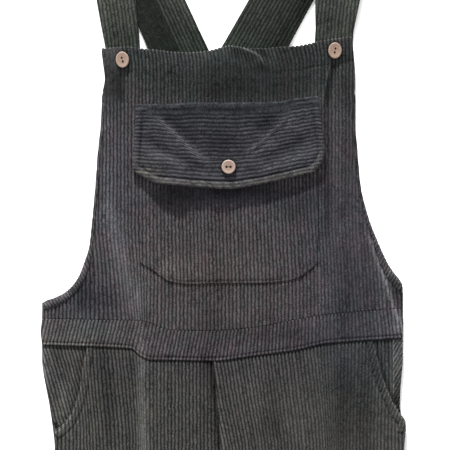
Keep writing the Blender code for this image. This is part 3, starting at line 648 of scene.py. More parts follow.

# Painted light and shade on the front, patch by patch, for how the light falls
frontPaintedLight = tableOf(Patch,
    # Towards the bib's top, painted darker
    (0, 365, 250, 45, -0.24), (0, 318, 170, 36, -0.21), (33, 308, 70, 26, -0.52), (10, 306, 42, 16, -0.22),
    (72, 305, 26, 14, -0.24), (-62, 304, 34, 14, -0.15), (-118, 303, 9, 20, -0.14),
    (144, 304, 10, 20, -0.22), (22, 349, 20, 10, -0.16), (-8, 303, 22, 10, -0.14), (150, 352, 8, 13, -0.2),
    (-117, 266, 9, 20, -0.2), (1, 328, 34, 12, -0.14), (-136, 242, 9, 18, -0.14), (-137, 198, 8, 50, 0.18),
    (-136, 315, 12, 30, -0.2), (146, 348, 10, 16, -0.25), (95, 325, 45, 22, -0.22),
    (85, 350, 30, 11, -0.24), (-12, 351, 20, 9, 0.32), (-138, 283, 7, 14, 0.16), (50, 304, 10, 10, 0.16),
    (146, 190, 11, 130, -0.2), (120, 155, 20, 55, -0.14),
    # Beside the left button
    (-125, 318, 14, 22, -0.1), (170, 160, 45, 120, -0.14),
    # Under the flap: its painted shadow
    (86, 176, 30, 17, -0.26), (8, 183, 58, 11, -0.56), (34, 188, 36, 7, -0.42), (4, 186, 14, 6, -0.6),
    (166, 140, 8, 10, -0.2), (50, 92, 14, 8, 0.16), (-58, 184, 12, 9, -0.24), (-90, 187, 9, 10, 0.2),
    (-20, 163, 12, 8, 0.14), (108, 196, 16, 18, -0.18), (-52, 180, 30, 14, -0.52),
    (-70, 172, 16, 12, -0.14), (-90, 92, 12, 40, 0.33), (-67, 92, 10, 11, 0.3), (0, 70, 95, 7, -0.1),
    # Under the arm
    (-150, 58, 18, 18, -0.24), (-166, 72, 14, 14, -0.24), (-155, 115, 9, 34, -0.16),
    (83, 160, 20, 16, -0.28), (144, 142, 9, 12, 0.2), (121, 164, 8, 10, 0.18), (121, 70, 9, 14, 0.18),
    (-160, 95, 8, 8, 0.18), (-207, 48, 6, 12, 0.18), (-184, 23, 12, 10, -0.16), (207.5, 30, 10, 13, 0.7),
    (168, 116, 6, 12, -0.2), (-50, 100, 20, 18, 0.13), (-66, 108, 12, 12, 0.12), (-20, 40, 12, 20, -0.2),
    (60, 46, 20, 9, -0.14), (144, 60, 15, 44, -0.3), (190, 75, 10, 22, 0.16), (-124, 54, 18, 18, -0.15),
    (40, 18, 85, 12, -0.14), (155, -52, 24, 52, -0.13), (97, -47, 18, 18, -0.14),
    # The waist, on the right
    (91, 16, 58, 16, -0.19), (95, -16, 36, 22, -0.14), (120, 0, 14, 16, -0.13), (-206, 5, 6, 45, 0.26),
    (-137, -40, 11, 60, -0.24), (-20, -18, 11, 19, -0.26), (-20, -60, 9, 60, -0.14),
    (10, -25, 26, 13, -0.15), (-172, -90, 20, 16, 0.22), (4, -94, 10, 10, 0.16), (145, -46, 10, 12, -0.14),
    (52, -24, 10, 10, 0.18), (90, -75, 80, 40, -0.07), (-66, -55, 14, 30, 0.1), (160, -60, 40, 110, -0.16),
    (144, -52, 16, 35, -0.16), (166, -70, 18, 50, -0.2), (68, -30, 18, 24, -0.14), (52, -92, 22, 12, -0.32),
    lengths=4,
)


# Where the wales show less: pressed flat, and under the flap, where its painted shadow hides them
frontRubs = tableOf(Patch,
    (35, 316, 80, 30, 0.65), (-52, 180, 30, 14, 0.95), (8, 182, 58, 11, 0.95), (-118, 314, 10, 18, 0.6),
    (155, 150, 50, 140, 0.5), (155, -70, 55, 90, 0.5), (70, -80, 40, 60, 0.18), (-90, -60, 14, 60, 0.2),
    lengths=4,
)


def roundedIn(distance):
    share = 1 - np.clip(distance / edgeRound, 0, 1)
    return np.sqrt(np.maximum(0, 1 - share * share))


def frontUnder(x, y):
    # The underside of the front: low along its side edges, and folded here and there
    inward = np.minimum(x - leftEdge(y), rightEdge(y) - x)
    low, crown = edgeAt(y), crownAt(y)
    return low + (crown - low) * roundedIn(np.maximum(inward, 0)) + creaseHeight(frontCreases, x, y)


def onFront(x, y):
    return frontUnder(x, y) + cord["body"] + cord["ribHeight"]


# Each bib button's middle, and half its width and height
bibButtons = metres(((-116.4, 339.5, 7.9, 9.6), (132, 350.2, 8, 9.6)))


def buttonShade(x, y, middleX, middleY, halfWidth, halfHeight):
    # Painted shade on the pile all round each button
    return 0.55 * lineAt(np.hypot((x - middleX) / halfWidth, (y - middleY) / halfHeight), 1, 0.2)


# The front's painted light and shade, and where its pile is rubbed
def frontNapAndShade(x, y):
    tone, rubbed = creaseLightAndShade(frontCreases, x, y)
    for place in bibButtons:
        tone -= buttonShade(x, y, *place)
    return tone + patchTone(frontPaintedLight, x, y), np.maximum(rubbed, patchTone(frontRubs, x, y))


def toSheet(points, place, turned=False):
    # Where points on the table lie on the flat sheet that place() bends over them
    points = np.asarray(points, float)
    across, along = (points[:, 1], points[:, 0]) if turned else (points[:, 0], points[:, 1])
    across, along = across.copy(), along.copy()
    for _ in range(25):
        x, y = place(across, along)
        missX, missY = points[:, 0] - x, points[:, 1] - y
        across += missY if turned else missX
        along += missX if turned else missY
    return np.stack([across, along], 1)


def leanTable(columns, rows):
    # How far each rib has moved sideways, in millimetres: the ribs' places, then a row for each height
    columns, rows = metres(columns), metres(rows)
    heights = [row[0] for row in rows]

    def lean(across, along):
        shifts = np.stack([through(columns, row[1:], across) for row in rows])
        return through(heights, shifts, along)

    return lean


def verticalSheet(low, high, lean, lowAt=None, highAt=None):
    # A sheet with its ribs up the garment: its ribs lean, and its ends are level or follow curves
    lowAt, highAt = lowAt or level(low), highAt or level(high)

    def place(across, along):
        x = across + lean(across, along)
        share = np.clip((along - low) / (high - low), -0.2, 1.2)
        y = along + (1 - share) * (lowAt(x) - low) + share * (highAt(x) - high)
        return x, y

    return place


def standing(place, under):
    # Puts a sheet's points at their height over the surface that they lie on
    def spots(across, along, height):
        x, y = place(across, along)
        return np.stack([x, y, under(x, y) + height], 1)

    return spots


def clothOn(name, outline, place, rows, under, look, style=None):
    # The mesh of a piece that lies on the surface under it
    return clothMesh(name, toSheet(outline, place), rows, standing(place, under), look, style or {})


bib = {
    "foot": 0.034,  # of its flat sheet
    "top": 0.355,
    "hemDepth": 0.029,  # of the folded top edge
    "hemRise": 0.0006,
    "cornerRound": 0.0022,
    "edgeWave": 0.0004,
    "sidesUnderBinding": 0.0012,
    "lean": leanTable(
        (-215, -165, -140, -122, -104, -86, 0, 33, 60, 100, 155, 215),
        (
            (360, 0, 0, -2, -3, -3, -3, -2, -7.5, -8.5, -3, 0, 0), (333, 0, 0, 0, 0, 0, 0, 1, 0, 0, 2, 1, 1),
            (325, 0, 0, 0, 0, 0, 0, 1, 1, 1, 2, 1, 1), (250, 0, 0, 0, 0, 0, 0, 1, 1, 1, 2, 1, 0),
            (150, 0, -1, -1, 0, 0, 0, 3, 3, 3, 3, 0, 0), (90, 0, 1, 4, 5, 3, 1, 4, 5, 6, 6, 3, 3),
            (20, -2, 1, 7, 11, 8, 0, 4, 5, 6, 7, 7, 10),
        ),
    ),
}


def makeBib():
    left, right = softLine(bibLeft), softLine(bibRight)
    for line, inward in ((left, 1), (right, -1)):
        bound = smoothStep(0.305, 0.295, line[:, 1]) * smoothStep(0.045, 0.06, line[:, 1])
        line[:, 0] += inward * bib["sidesUnderBinding"] * bound
        # The hem's corners are turned, so they are round
        corner = np.clip(1 - (bibTopAt(line[:, 0]) - line[:, 1]) / 0.003, 0, 1)
        line[:, 0] += inward * bib["cornerRound"] * corner**2
    topX = np.linspace(left[0, 0], right[0, 0], 160)
    bottomX = np.linspace(right[-1, 0], left[-1, 0], 160)
    top = withHeights(topX, bibTopAt)
    top[:, 1] += bib["edgeWave"] * np.sin(top[:, 0] * 160) * np.sin(top[:, 0] * 61 + 1)
    bottom = withHeights(bottomX, waistTopAt)
    bottom[:, 1] += 0.00005
    outline = closeLine(top, right, bottom, left[::-1])
    place = verticalSheet(bib["foot"], bib["top"], bib["lean"], waistTopAt, bibTopAt)
    stitchRow = bib["top"] - bib["hemDepth"]
    rows = rowsBetween(0.024, 0.368, cord["rowStep"], fine=(stitchRow, 0.333, 0.339, 0.3455, 0.352))

    def under(x, y):
        # The hem is folded, so it stands a little higher, and its stitches pull it in
        fromTop = bibTopAt(x) - y
        hem = bib["hemRise"] * smoothStep(bib["hemDepth"] + 0.002, bib["hemDepth"] - 0.01, fromTop)
        pulled = 0.0004 * lineAt(fromTop, bib["hemDepth"], stitch["dent"]) * smoothStep(0.03, 0.11, x)
        return frontUnder(x, y) + hem - pulled

    def look(x, y, across, along):
        tone, rubbed = frontNapAndShade(x, y)
        fromTop = bibTopAt(x) - y
        # A painted highlight along the hem's top edge
        tone += 0.16 * smoothStep(0.0018, 0, fromTop)
        tone -= 0.1 * lineAt(fromTop, bib["hemDepth"], 0.001) * smoothStep(0.04, 0.13, x)
        # Painted light along the seam to the waistband, which hides its shade
        tone += 0.24 * lineAt(y - waistTopAt(x), 0, 0.0012)
        # Beside the left button the cloth is painted dark, a painted shade, and its ribs are smoothed
        corner = smoothStep(-0.115, -0.122, x) * smoothStep(0.288, 0.298, y)
        rubbed = np.maximum(rubbed, 0.9 * corner)
        return tone - 0.26 * corner * smoothStep(0.334, 0.322, y), rubbed, 0.1 * smoothStep(0.34, 0.36, y)

    def scallop(across, along):
        return 1.5 * smoothStep(0.345, 0.35, along)

    def rollAt(points):
        return np.where(points[:, 1] < 0.046, 0.00012, 0.001)

    mesh = clothOn("bib_panel", outline, place, rows, under, look, {"scallop": scallop, "rollAt": rollAt})
    rests = ["strap_left", "strap_right", "back_waist"]
    addPiece(mesh, cords["bibCord"], "bib_front", (0.425, 0.345), rests, area=0.11)


makeBib()

band = {
    "foot": -0.004,  # of its flat sheet
    "top": 0.034,
    "rise": 0.0011,  # of its lower edge over the legs
    "stitchIn": 0.0034,
    "lean": leanTable(
        (-215, -100, 0, 50, 120, 215),
        ((34, 4, 4, 2, 1, 0, -2), (-4, -3, -4, -3.5, -1, 0, 3)),
    ),
}


def makeWaistband():
    leftEnd = softLine([(-0.211, 0.0365), (-0.2125, 0.021), (-0.211, 0.006)])
    rightEnd = softLine([(0.21, 0.0485), (0.2128, 0.031), (0.2118, 0.0225), (0.21, 0.014)])
    topX = np.linspace(-0.211, 0.21, 170)
    top, bottom = withHeights(topX, waistTopAt), withHeights(topX[::-1], waistBottomAt)
    outline = closeLine(top, rightEnd, bottom, leftEnd[::-1])
    place = verticalSheet(band["foot"], band["top"], band["lean"], waistBottomAt, waistTopAt)
    rows = rowsBetween(-0.012, 0.042, 0.0045, fine=(band["foot"] + band["stitchIn"], -0.003, 0.0325))

    def under(x, y):
        top, bottom = waistTopAt(x), waistBottomAt(x)
        share = np.clip((top - y) / (top - bottom), 0, 1)
        pulled = 0.0008 * lineAt(y - bottom, band["stitchIn"], 0.001)
        return frontUnder(x, y) + band["rise"] * share**1.5 - pulled

    def look(x, y, across, along):
        tone, rubbed = frontNapAndShade(x, y)
        fromBottom = y - waistBottomAt(x)
        # To the right of the centre its lip is painted darker, so that its highlight hides and only its shadow
        # shows, and its stitches show less
        lipPaintedDark = smoothStep(-0.006, 0.015, x) * smoothStep(0.15, 0.12, x)
        tone -= 0.28 * lineAt(fromBottom, band["stitchIn"], stitch["mark"]) * (1 - 0.8 * lipPaintedDark)
        # Painted light along its top seam, which hides the seam's shade
        tone += 0.16 * lineAt(waistTopAt(x) - y, 0, 0.001)
        # Its lower lip: painted lighter at the left, painted darker to the right
        tone += smoothStep(0.0026, 0.0014, fromBottom) * (0.1 - 0.48 * lipPaintedDark - 0.2 * smoothStep(0.12, 0.15, x))
        # Painted lighter towards the left
        tone += 0.1 * smoothStep(-0.09, -0.14, x)
        return tone, rubbed, 0.45 * smoothStep(0.016, 0.004, fromBottom) * smoothStep(0.02, -0.12, x)

    def rollAt(points):
        return np.where(points[:, 1] > 0.029, 0.00012, 0.0009)

    mesh = clothOn("waist_band", outline, place, rows, under, look, {"rollAt": rollAt})
    rests = ["front_leg_left", "front_leg_right"]
    addPiece(mesh, cords["bibCord"], "waistband_front", (0.425, 0.042), rests)


makeWaistband()

leg = {
    "lapRise": 0.001,  # of the right leg's edge over the left's, at the centre seam
    "lap": 0.0018,
    "mouthSink": 0.0008,
    "seamHeight": 0.0034,  # of the inseam's edge off the table
    "hemRise": 0.0006,
    "underBand": 0.0012,  # how far its top sinks under the waistband
    "lean": {
        "left": leanTable(
            (-230, -180, -150, -125, -108, -88, -40, 10),
            (
                (10, 0, 0, 0, 0, 0, 0, 0, 0), (-40, 4, 6, 3, 5, 5, 0, 0, 0), (-110, 8, 12, 9, 11, 9, 1, 0, 1),
                (-260, 6, 12, 13, 14, 10, 4, 0, 0), (-600, 4, 6, 8, 8, 6, 4, 0, 0),
                (-940, 0, 2, 4, 4, 4, 2, 0, 0),
            ),
        ),
        "right": leanTable(
            (-20, 16, 63, 100, 125, 145, 180, 245),
            (
                (10, 0, 0, 0, 0, 0, 0, 0, 0), (-50, 10, 9, 7, 7, 2, -1, -2, -3),
                (-110, 22, 19, 14, 13, 5, -2, -4, -5), (-260, 34, 31, 24, 18, 9, 0, -4, -6),
                (-600, 30, 27, 20, 14, 8, 2, -2, -3), (-940, 26, 22, 16, 10, 6, 2, 0, 0),
            ),
        ),
    },
}


def legOutline(side, top, mouth=True):
    # From the waist down the outside, along the hem and up the inseam and the centre seam
    left = side == "left"
    outer, inner = f"{side}Outer", f"{side}Inner"
    outerPoints = [(getattr(row, outer), row.y) for row in legTable if row.y < (mouthFoot if mouth else -0.013)]
    startX = getattr(legTable[1], outer)
    if mouth:
        outerPoints = mouthLines[side][1:] + outerPoints
        startX = mouthLines[side][0][0] + (0.0006 if left else -0.0006)
    # The left leg's edge goes in under the right's, down to the crotch
    gap, lap = (-seamGap / 2, leg["lap"]) if left else (seamGap / 2, 0.0)
    endX = getattr(legTable[1], inner) + gap + lap
    innerPoints = [(getattr(row, inner) + gap + (lap if row.y > crotchY else 0), row.y) for row in legTable[2:]]
    outerLine = softLine([(startX, top(startX)), *outerPoints], 0.005)
    centre = softLine([(endX, top(endX)), *(point for point in innerPoints if point[1] >= crotchY)], 0.005)
    inseam = softLine([point for point in innerPoints if point[1] <= crotchY], 0.005)
    hem = np.linspace(outerLine[-1], inseam[-1], 60)
    topX = np.linspace(endX, startX, 100)
    return closeLine(outerLine, hem, inseam[::-1], centre[::-1], withHeights(topX, top))


def legPlace(side):
    return verticalSheet(hemY, 0, leg["lean"][side], highAt=waistBottomAt)


fromMouth = {side: distanceFrom(softLine(line, 0.004), closed=False) for side, line in mouthLines.items()}


def legUnder(side, x, y):
    toCentre = np.abs(x - columnOf(legTable, f"{side}Inner")(y))
    fromSide = np.abs(x - columnOf(legTable, f"{side}Outer")(y))
    low, crown = edgeAt(y), crownAt(y)
    height = crown - (crown - low) * (1 - roundedIn(fromSide)) + creaseHeight(frontCreases, x, y)
    # The doubled edge of the pocket's mouth sinks into the pocket
    mouth = smoothStep(0.0135, 0.0098, fromMouth[side](x, y)) * smoothStep(-0.1, -0.094, y)
    height -= leg["mouthSink"] * mouth
    belowCrotch = smoothStep(crotchY + 0.01, crotchY - 0.03, y)
    height -= belowCrotch * (crown - leg["seamHeight"]) * (1 - roundedIn(toCentre))
    height += leg["lapRise"] * lineAt(toCentre, 0, 0.005) * (1 - belowCrotch) * (-1.3 if side == "left" else 1)
    hemFold = leg["hemRise"] * smoothStep(hemY + 0.032, hemY + 0.026, y)
    hemStitch = leg["hemRise"] * lineAt(y, hemY + hemStitchIn, stitch["dent"])
    underBand = leg["underBand"] * smoothStep(0.004, -0.001, waistBottomAt(x) - y)
    return height + hemFold - hemStitch - underBand


def makeFrontLeg(side):
    outline = legOutline(side, lambda x: waistBottomAt(x) - seamGap + 0.001)
    place = legPlace(side)
    lowRows = rowsBetween(hemY - 0.004, -0.14, cord["plainStep"], fine=(hemY + hemStitchIn,))
    rows = np.concatenate([lowRows, rowsBetween(-0.134, 0.022, cord["rowStep"], fine=(-0.003,))])
    inner = columnOf(legTable, f"{side}Inner")

    def under(x, y):
        return legUnder(side, x, y)

    def look(x, y, across, along):
        tone, rubbed = frontNapAndShade(x, y)
        toCentre = np.abs(x - inner(y))
        above = smoothStep(crotchY - 0.01, crotchY + 0.02, y)
        # Painted shade along the centre seam beside the right leg's lap, and a painted highlight on the lap's
        # edge
        if side == "left":
            tone -= (0.7 * lineAt(toCentre, 0.0022, 0.0016) + 0.2 * lineAt(toCentre, 0.004, 0.004)) * above
        else:
            tone += (0.24 * lineAt(toCentre, 0.0032, 0.0026) - 0.35 * lineAt(toCentre, 0, 0.001)) * above
        # Painted shadow under the waistband
        tone -= 0.18 * smoothStep(0.004, 0.0005, waistBottomAt(x) - y)
        return tone, rubbed, 0

    mesh = clothOn(f"front_leg_{side}_panel", outline, place, rows, under, look)
    addPiece(mesh, cords["legCord"], f"front_leg_{side}", (0.235, 0.945), [f"back_leg_{side}"], area=0.195)


makeFrontLeg("left")
makeFrontLeg("right")

hip = {
    "foot": -0.125,
    "sheetFoot": -0.13,
    "rowFoot": -0.135,
    "height": 0.0034,
    "inner": {"left": -0.125, "right": 0.14},
    "tuckedBelow": -0.08,
    "tucked": 0.01,
    "sideSeamX": 0.2004,
    # Painted light and shade on each hip, patch by patch
    "patches": {
        "left": tableOf(Patch,
            (-187, -68, 11, 36, 0.42), (-168, -26, 9, 40, -0.12), (-207, -18, 7, 32, 0.6),
            (-188, -24, 10, 20, -0.14),
            lengths=4,
        ),
        "right": tableOf(Patch,
            (194, -10, 6, 40, -0.22), (206, -10, 6, 30, 0.16),
            lengths=4,
        ),
    },
    "lean": {
        "left": leanTable(
            (-215, -190, -160, -120),
            ((15, 0, 0, 0, 0), (-50, 20, 19, 16, 10), (-130, 42, 42, 36, 20)),
        ),
        "right": leanTable(
            (135, 185, 215),
            ((15, 0, 0, 0), (-50, -1, 1, 1), (-130, 0, 2, 2)),
        ),
    },
}


def beyondSeam(across, along):
    # Past the side seam the back's cloth shows, its ribs slanting the other way
    return -0.56 * (0.01 - along)


def makeHipPocket(side):
    left = side == "left"
    outer, mouthX = columnOf(legTable, f"{side}Outer"), columnOf(mouthTable, f"{side}X")
    inner = hip["inner"][side]

    def top(x):
        return waistBottomAt(x) + 0.001

    levels = np.linspace(-0.012, hip["foot"], 40)
    tuck = hip["tucked"] * smoothStep(hip["tuckedBelow"], hip["tuckedBelow"] - 0.012, levels)
    outerX = outer(levels) + (tuck if left else -tuck)
    startX = float(outer(0.0))
    outerLine = np.concatenate([[[startX, float(top(startX))]], np.stack([outerX, levels], 1)])
    corner = (inner, hip["foot"])
    bottom = np.linspace(outerLine[-1], corner, 30)
    innerLine = np.linspace(corner, (inner, float(top(inner))), 40)
    topX = np.linspace(inner, startX, 40)
    outline = closeLine(outerLine, bottom, innerLine, withHeights(topX, top))
    if not left:
        seamX = hip["sideSeamX"]
        seamTop, foot = (seamX, float(top(seamX))), (seamX, float(outerLine[-1, 1]))
        beyond = closeLine(
            outerLine, np.linspace(outerLine[-1], foot, 6), np.linspace(foot, seamTop, 40),
            np.linspace(seamTop, outerLine[0], 6),
        )
        outline = closeLine(
            np.linspace(seamTop, foot, 40), np.linspace(foot, corner, 26), innerLine,
            np.linspace(innerLine[-1], seamTop, 26),
        )
    place = verticalSheet(hip["sheetFoot"], 0, hip["lean"][side], highAt=waistBottomAt)
    rows = rowsBetween(hip["rowFoot"], 0.024, 0.0045)

    def under(x, y):
        edge = np.abs(x - outer(y))
        height = hip["height"] + 0.0012 * roundedIn(edge * 1.6) * smoothStep(-0.1, -0.05, y)
        if not left:
            height += 0.001 * lineAt(x, hip["sideSeamX"], 0.0012) * smoothStep(-0.085, -0.07, y)
            height -= 0.0006 * lineAt(x, hip["sideSeamX"] + 0.0022, 0.0012)
        return height - 0.0008 * smoothStep(0.004, -0.001, waistBottomAt(x) - y)

    def styleOn(sheet):
        # Its ribs are pressed flat where the leg lies over them
        def pressed(across, along):
            x, y = sheet(across, along)
            return smoothStep(0.003, 0, (x - mouthX(y)) * (1 if left else -1))

        return {"edgeRoll": 0.0006, "flatten": pressed}

    def look(x, y, across, along):
        mouth = mouthX(y)
        tone = patchTone(hip["patches"][side], x, y)
        # Painted shadow under the waistband and along the pocket's mouth
        tone -= 0.3 * smoothStep(0.006, 0.0005, waistBottomAt(x) - y) + 0.35 * lineAt(x, mouth, 0.0035)
        if left:
            return tone, 0, 0
        # Painted shade beside the mouth, a painted highlight on the side seam's fold, and painted shade lower
        # down
        tone -= 0.4 * lineAt(x, mouth + 0.002, 0.003)
        tone += 0.75 * lineAt(x, hip["sideSeamX"], 0.0009) * smoothStep(-0.085, -0.07, y)
        tone -= 0.35 * smoothStep(-0.045, -0.06, y)
        # Past the side seam: a painted highlight on the back's turned fold and painted shade below it
        beyondIt = smoothStep(hip["sideSeamX"], hip["sideSeamX"] + 0.001, x)
        fold = -0.016 - (0.2105 - x) * 1.75
        tone += beyondIt * (0.3 * lineAt(y, fold, 0.0022) - 0.3 * smoothStep(fold, fold - 0.006, y))
        return tone, 0.2 + 0.45 * beyondIt, 0

    mesh = clothOn(f"hip_{side}_piece", outline, place, rows, under, look, styleOn(place))
    if not left:
        place = verticalSheet(hip["sheetFoot"], 0, beyondSeam)
        rows = rowsBetween(hip["rowFoot"], 0.024, 0.003)
        bm = bmesh.new()
        for part in (mesh, clothOn("edge", beyond, place, rows, under, look, styleOn(place))):
            bm.from_mesh(part)
            bpy.data.meshes.remove(part)
        mesh = meshFrom(bm, f"hip_{side}_piece")
    addPiece(mesh, cords["legCord"], f"hip_pocket_{side}", (0.088, 0.135), [f"back_leg_{side}"])


makeHipPocket("left")
makeHipPocket("right")

bandStyle = {
    "width": 0.01, "body": 0.0005, "relief": 0.72, "edgeRoll": 0.0006,
    "wrap": 0.0026,  # how far in from the edge it turns down, and by how much
    "sunk": 0.0022,
    "tuck": 0.001,  # of its inner side under the cloth
    "bead": 0.34,
    "ends": 0.014,  # how far its flat sheet reaches past it
}


def edgeStrip(path, side, widthAt):
    # The outline of a band along an edge, as wide as it is at each height, and the distance from the edge
    turn = np.gradient(path, axis=0)
    turn /= np.linalg.norm(turn, axis=1, keepdims=True)
    inward = np.stack([-turn[:, 1], turn[:, 0]], 1) * (1 if side == "left" else -1)
    outer, inner = path - inward * 0.0005, path + inward * widthAt(path[:, 1])[:, None]
    ends = [np.linspace(a, b, 8) for a, b in ((outer[-1], inner[-1]), (inner[0], outer[0]))]
    outline = closeLine(outer, ends[0], inner[::-1], ends[1])
    return outline, distanceFrom(path, closed=False)


def sewBand(name, path, side, widthAt, place, rows, under, look, piece):
    # A narrow band sewn along an edge and turned over it; piece is what addPiece needs besides the mesh
    outline, fromEdge = edgeStrip(path, side, widthAt)

    def spots(across, along, height):
        x, y = place(across, along)
        edge = fromEdge(x, y)
        sunk = bandStyle["sunk"] * smoothStep(bandStyle["wrap"], 0, edge)
        sunk += bandStyle["tuck"] * smoothStep(0.72, 1.0, edge / widthAt(y))
        return np.stack([x, y, under(x, y) + height - sunk], 1)

    def shades(x, y, across, along):
        edge = fromEdge(x, y)
        tone, rubbed, worn = look(x, y, edge)
        # Where the ribs turn over the edge, each is painted light on its crest and dark in its groove, so that
        # it shows as a bead
        tone = tone + bandStyle["bead"] * smoothStep(0.004, 0.0015, edge) * (ribRelief(across) - 0.62)
        return tone, rubbed, worn

    style = {key: bandStyle[key] for key in ("body", "relief", "edgeRoll")}
    style["scallop"] = lambda across, along: np.full_like(across, 0.7)
    addPiece(clothMesh(name, toSheet(outline, place), rows, spots, shades, style), **piece)


# How far its ribs have slanted sideways at each height
armholeSlants = {
    "left": ((320, 0), (170, 15), (100, 35), (45, 67)),
    "right": ((320, 0), (170, -12), (100, -46), (45, -76)),
}
# How light each band is, and how much lighter it is higher up
armholeTone = {"left": (-0.06, 0.1), "right": (-0.02, -0.12)}
# How wide each band shows at each height
armholeWidth = {
    "left": curveOf(metres(((50, 9.2), (90, 7.6), (109, 6), (129, 4), (170, 3.4), (300, 3.2)))),
    "right": curveOf(metres(((50, 10), (100, 8.8), (117, 6.4), (132, 4.2), (170, 3.4), (300, 3.2)))),
}


def makeBinding(side):
    # Its ribs run nearly along the edge at the top, and slant across it under the arm
    edge = softLine((bibLeft if side == "left" else bibRight)[3:-1])
    slantAt = curveOf(metres(armholeSlants[side]))
    dashShade = 0.42 if side == "left" else 0.2

    def lean(across, along):
        return slantAt(along)

    low, high = edge[:, 1].min() - bandStyle["ends"], edge[:, 1].max() + bandStyle["ends"]
    place = verticalSheet(low, high, lean)

    def under(x, y):
        # Its upper end goes in under the bib's hem
        return onFront(x, y) + lieOn - 0.003 * smoothStep(0.282, 0.297, y)

    def look(x, y, fromEdge):
        tone, rubbed = frontNapAndShade(x, y)
        # Painted shade along its inner side
        tone -= 0.12 * smoothStep(0.006, 0.0098, fromEdge) + 0.08 * lineAt(fromEdge, 0.007, 0.0012)
        tone += armholeTone[side][0] + armholeTone[side][1] * smoothStep(0.15, 0.2, y)
        # Higher up its slanting grooves show only as a row of dark dashes
        dashes = smoothStep(0.1, 0.9, np.sin(y * math.tau / 0.008 + 2 * np.sin(y * 130)))
        tone -= dashShade * dashes * lineAt(fromEdge, 0.0026, 0.0013) * smoothStep(0.095, 0.11, y)
        rubbed = np.maximum(rubbed, 0.2 + 0.2 * smoothStep(0.13, 0.2, y))
        return tone, rubbed, 0.12 * smoothStep(0.12, 0.07, y)

    rows, cadNode = rowsBetween(low, high, 0.0032), f"armhole_binding_{side}"
    piece = {"material": cords["bibCord"], "cadNode": cadNode, "cut": (0.0125, 0.3), "restsOn": ["bib_panel"]}
    piece["area"] = 0.0024
    sewBand(f"armhole_{side}_band", edge, side, armholeWidth[side], place, rows, under, look, piece)


def makeFacing(side):
    # The turned edge of the pocket's mouth, stitched down twice
    startX = mouthLines[side][0][0]
    edge = softLine([(startX, float(waistBottomAt(startX)) + 0.0004), *mouthLines[side][1:]])
    low, high = edge[:, 1].min() - bandStyle["ends"], edge[:, 1].max() + bandStyle["ends"]
    if side == "left":
        # The leg's own ribs run on to the edge
        place = legPlace(side)
    else:
        place = verticalSheet(low, high, lambda across, along: -0.36 * (0.01 - along))

    def under(x, y):
        return legUnder(side, x, y) + cord["body"] + cord["ribHeight"] + 0.0001

    def look(x, y, fromEdge):
        tone = -0.22 * lineAt(fromEdge, 0.0036, 0.0008) - 0.18 * lineAt(fromEdge, 0.0088, 0.0009)
        tone += 0.24 * lineAt(fromEdge, 0.0006, 0.0012) + frontNapAndShade(x, y)[0]
        # Between the two rows of stitches, dimples are painted in light and shade
        tone += 0.1 * np.sin(y * 1900 + 3 * np.sin(x * 900)) * lineAt(fromEdge, 0.006, 0.0026)
        if side == "right":
            tone += 0.26 * lineAt(fromEdge, 0.0006, 0.001) - 0.2 * smoothStep(-0.08, -0.03, y)
        return tone, 0.55 if side == "right" else 0.1, 0.12

    rows, cadNode, rests = rowsBetween(low, high, 0.0022), f"pocket_facing_{side}", [f"front_leg_{side}_panel"]
    piece = {"material": cords["legCord"], "cadNode": cadNode, "cut": (0.0125, 0.12), "restsOn": rests}
    sewBand(f"mouth_{side}_band", edge, side, level(bandStyle["width"]), place, rows, under, look, piece)


for sideName in ("left", "right"):
    makeBinding(sideName)
    makeFacing(sideName)

pocket = {
    "foot": 0.077,  # of its flat sheet
    "top": 0.277,
    "edgeStitchIn": 0.0028,
    "body": 0.0005,
    "lieOn": 0.0001,
    "belly": Patch(-0.02, 0.14, 0.07, 0.04, 0.001),  # where it stands a little higher
    "left": metres(((-101, 276), (-100, 233), (-99, 189), (-97, 145), (-95.5, 102))),
    "right": metres(((111, 278), (112.5, 233), (113, 194), (113, 157), (112, 102))),
    "footLine": metres((
        (112, 102), (100, 92), (86, 83), (50, 78.5), (5, 78), (-40, 77.2), (-63, 81), (-80, 93), (-95.5, 102),
    )),
    "lean": leanTable(
        (-105, -50, 0, 60, 115),
        ((280, 0, 0, 0, 0, 0), (200, 0, 0, 0, 1, 1), (75, 0, 2, 3, 6, 9)),
    ),
}


def makePocket():
    left, right, foot = softLine(pocket["left"]), softLine(pocket["right"]), softLine(pocket["footLine"])
    top = np.linspace(left[0], right[0], 70)
    outline = closeLine(top, right, foot, left[::-1])
    place = verticalSheet(pocket["foot"], pocket["top"], pocket["lean"])
    rows = rowsBetween(0.072, 0.284, cord["rowStep"], fine=(0.0805,))
    fromEdge = distanceFrom(outline)

    def under(x, y):
        pulled = 0.0004 * lineAt(fromEdge(x, y), pocket["edgeStitchIn"], stitch["dent"])
        belly = pocket["belly"].tone * spotAt(x, y, pocket["belly"])
        return onFront(x, y) + pocket["lieOn"] + belly - pulled * smoothStep(0.27, 0.26, y)

    def flatten(across, along):
        x, y = place(across, along)
        return 0.35 + 0.65 * smoothStep(0, 0.005, fromEdge(x, y))

    def look(x, y, across, along):
        tone, rubbed = frontNapAndShade(x, y)
        edge = fromEdge(x, y)
        tone -= 0.14 * lineAt(edge, pocket["edgeStitchIn"], stitch["mark"]) * smoothStep(0.27, 0.26, y)
        tone += 0.16 * smoothStep(0.0016, 0.0003, edge) * smoothStep(0.12, 0.1, y)
        # Painted shade in the crevice along its sides, and a painted highlight just inside its right side
        tone -= smoothStep(0.0014, 0.0004, edge) * smoothStep(0.098, 0.106, y) * np.where(x > 0, 0.45, 0.16)
        tone += 0.1 * lineAt(edge, 0.0042, 0.0014) * smoothStep(0, 0.05, x) * smoothStep(0.098, 0.106, y)
        return tone, rubbed, 0.25 * smoothStep(0.115, 0.085, y) * smoothStep(0.02, -0.06, x)

    style = {"edgeRoll": 0.0005, "body": pocket["body"], "flatten": flatten}
    mesh = clothOn("pocket_panel", outline, place, rows, under, look, style)
    addPiece(mesh, cords["bibCord"], "bib_pocket", (0.214, 0.203), ["bib_panel"])


makePocket()

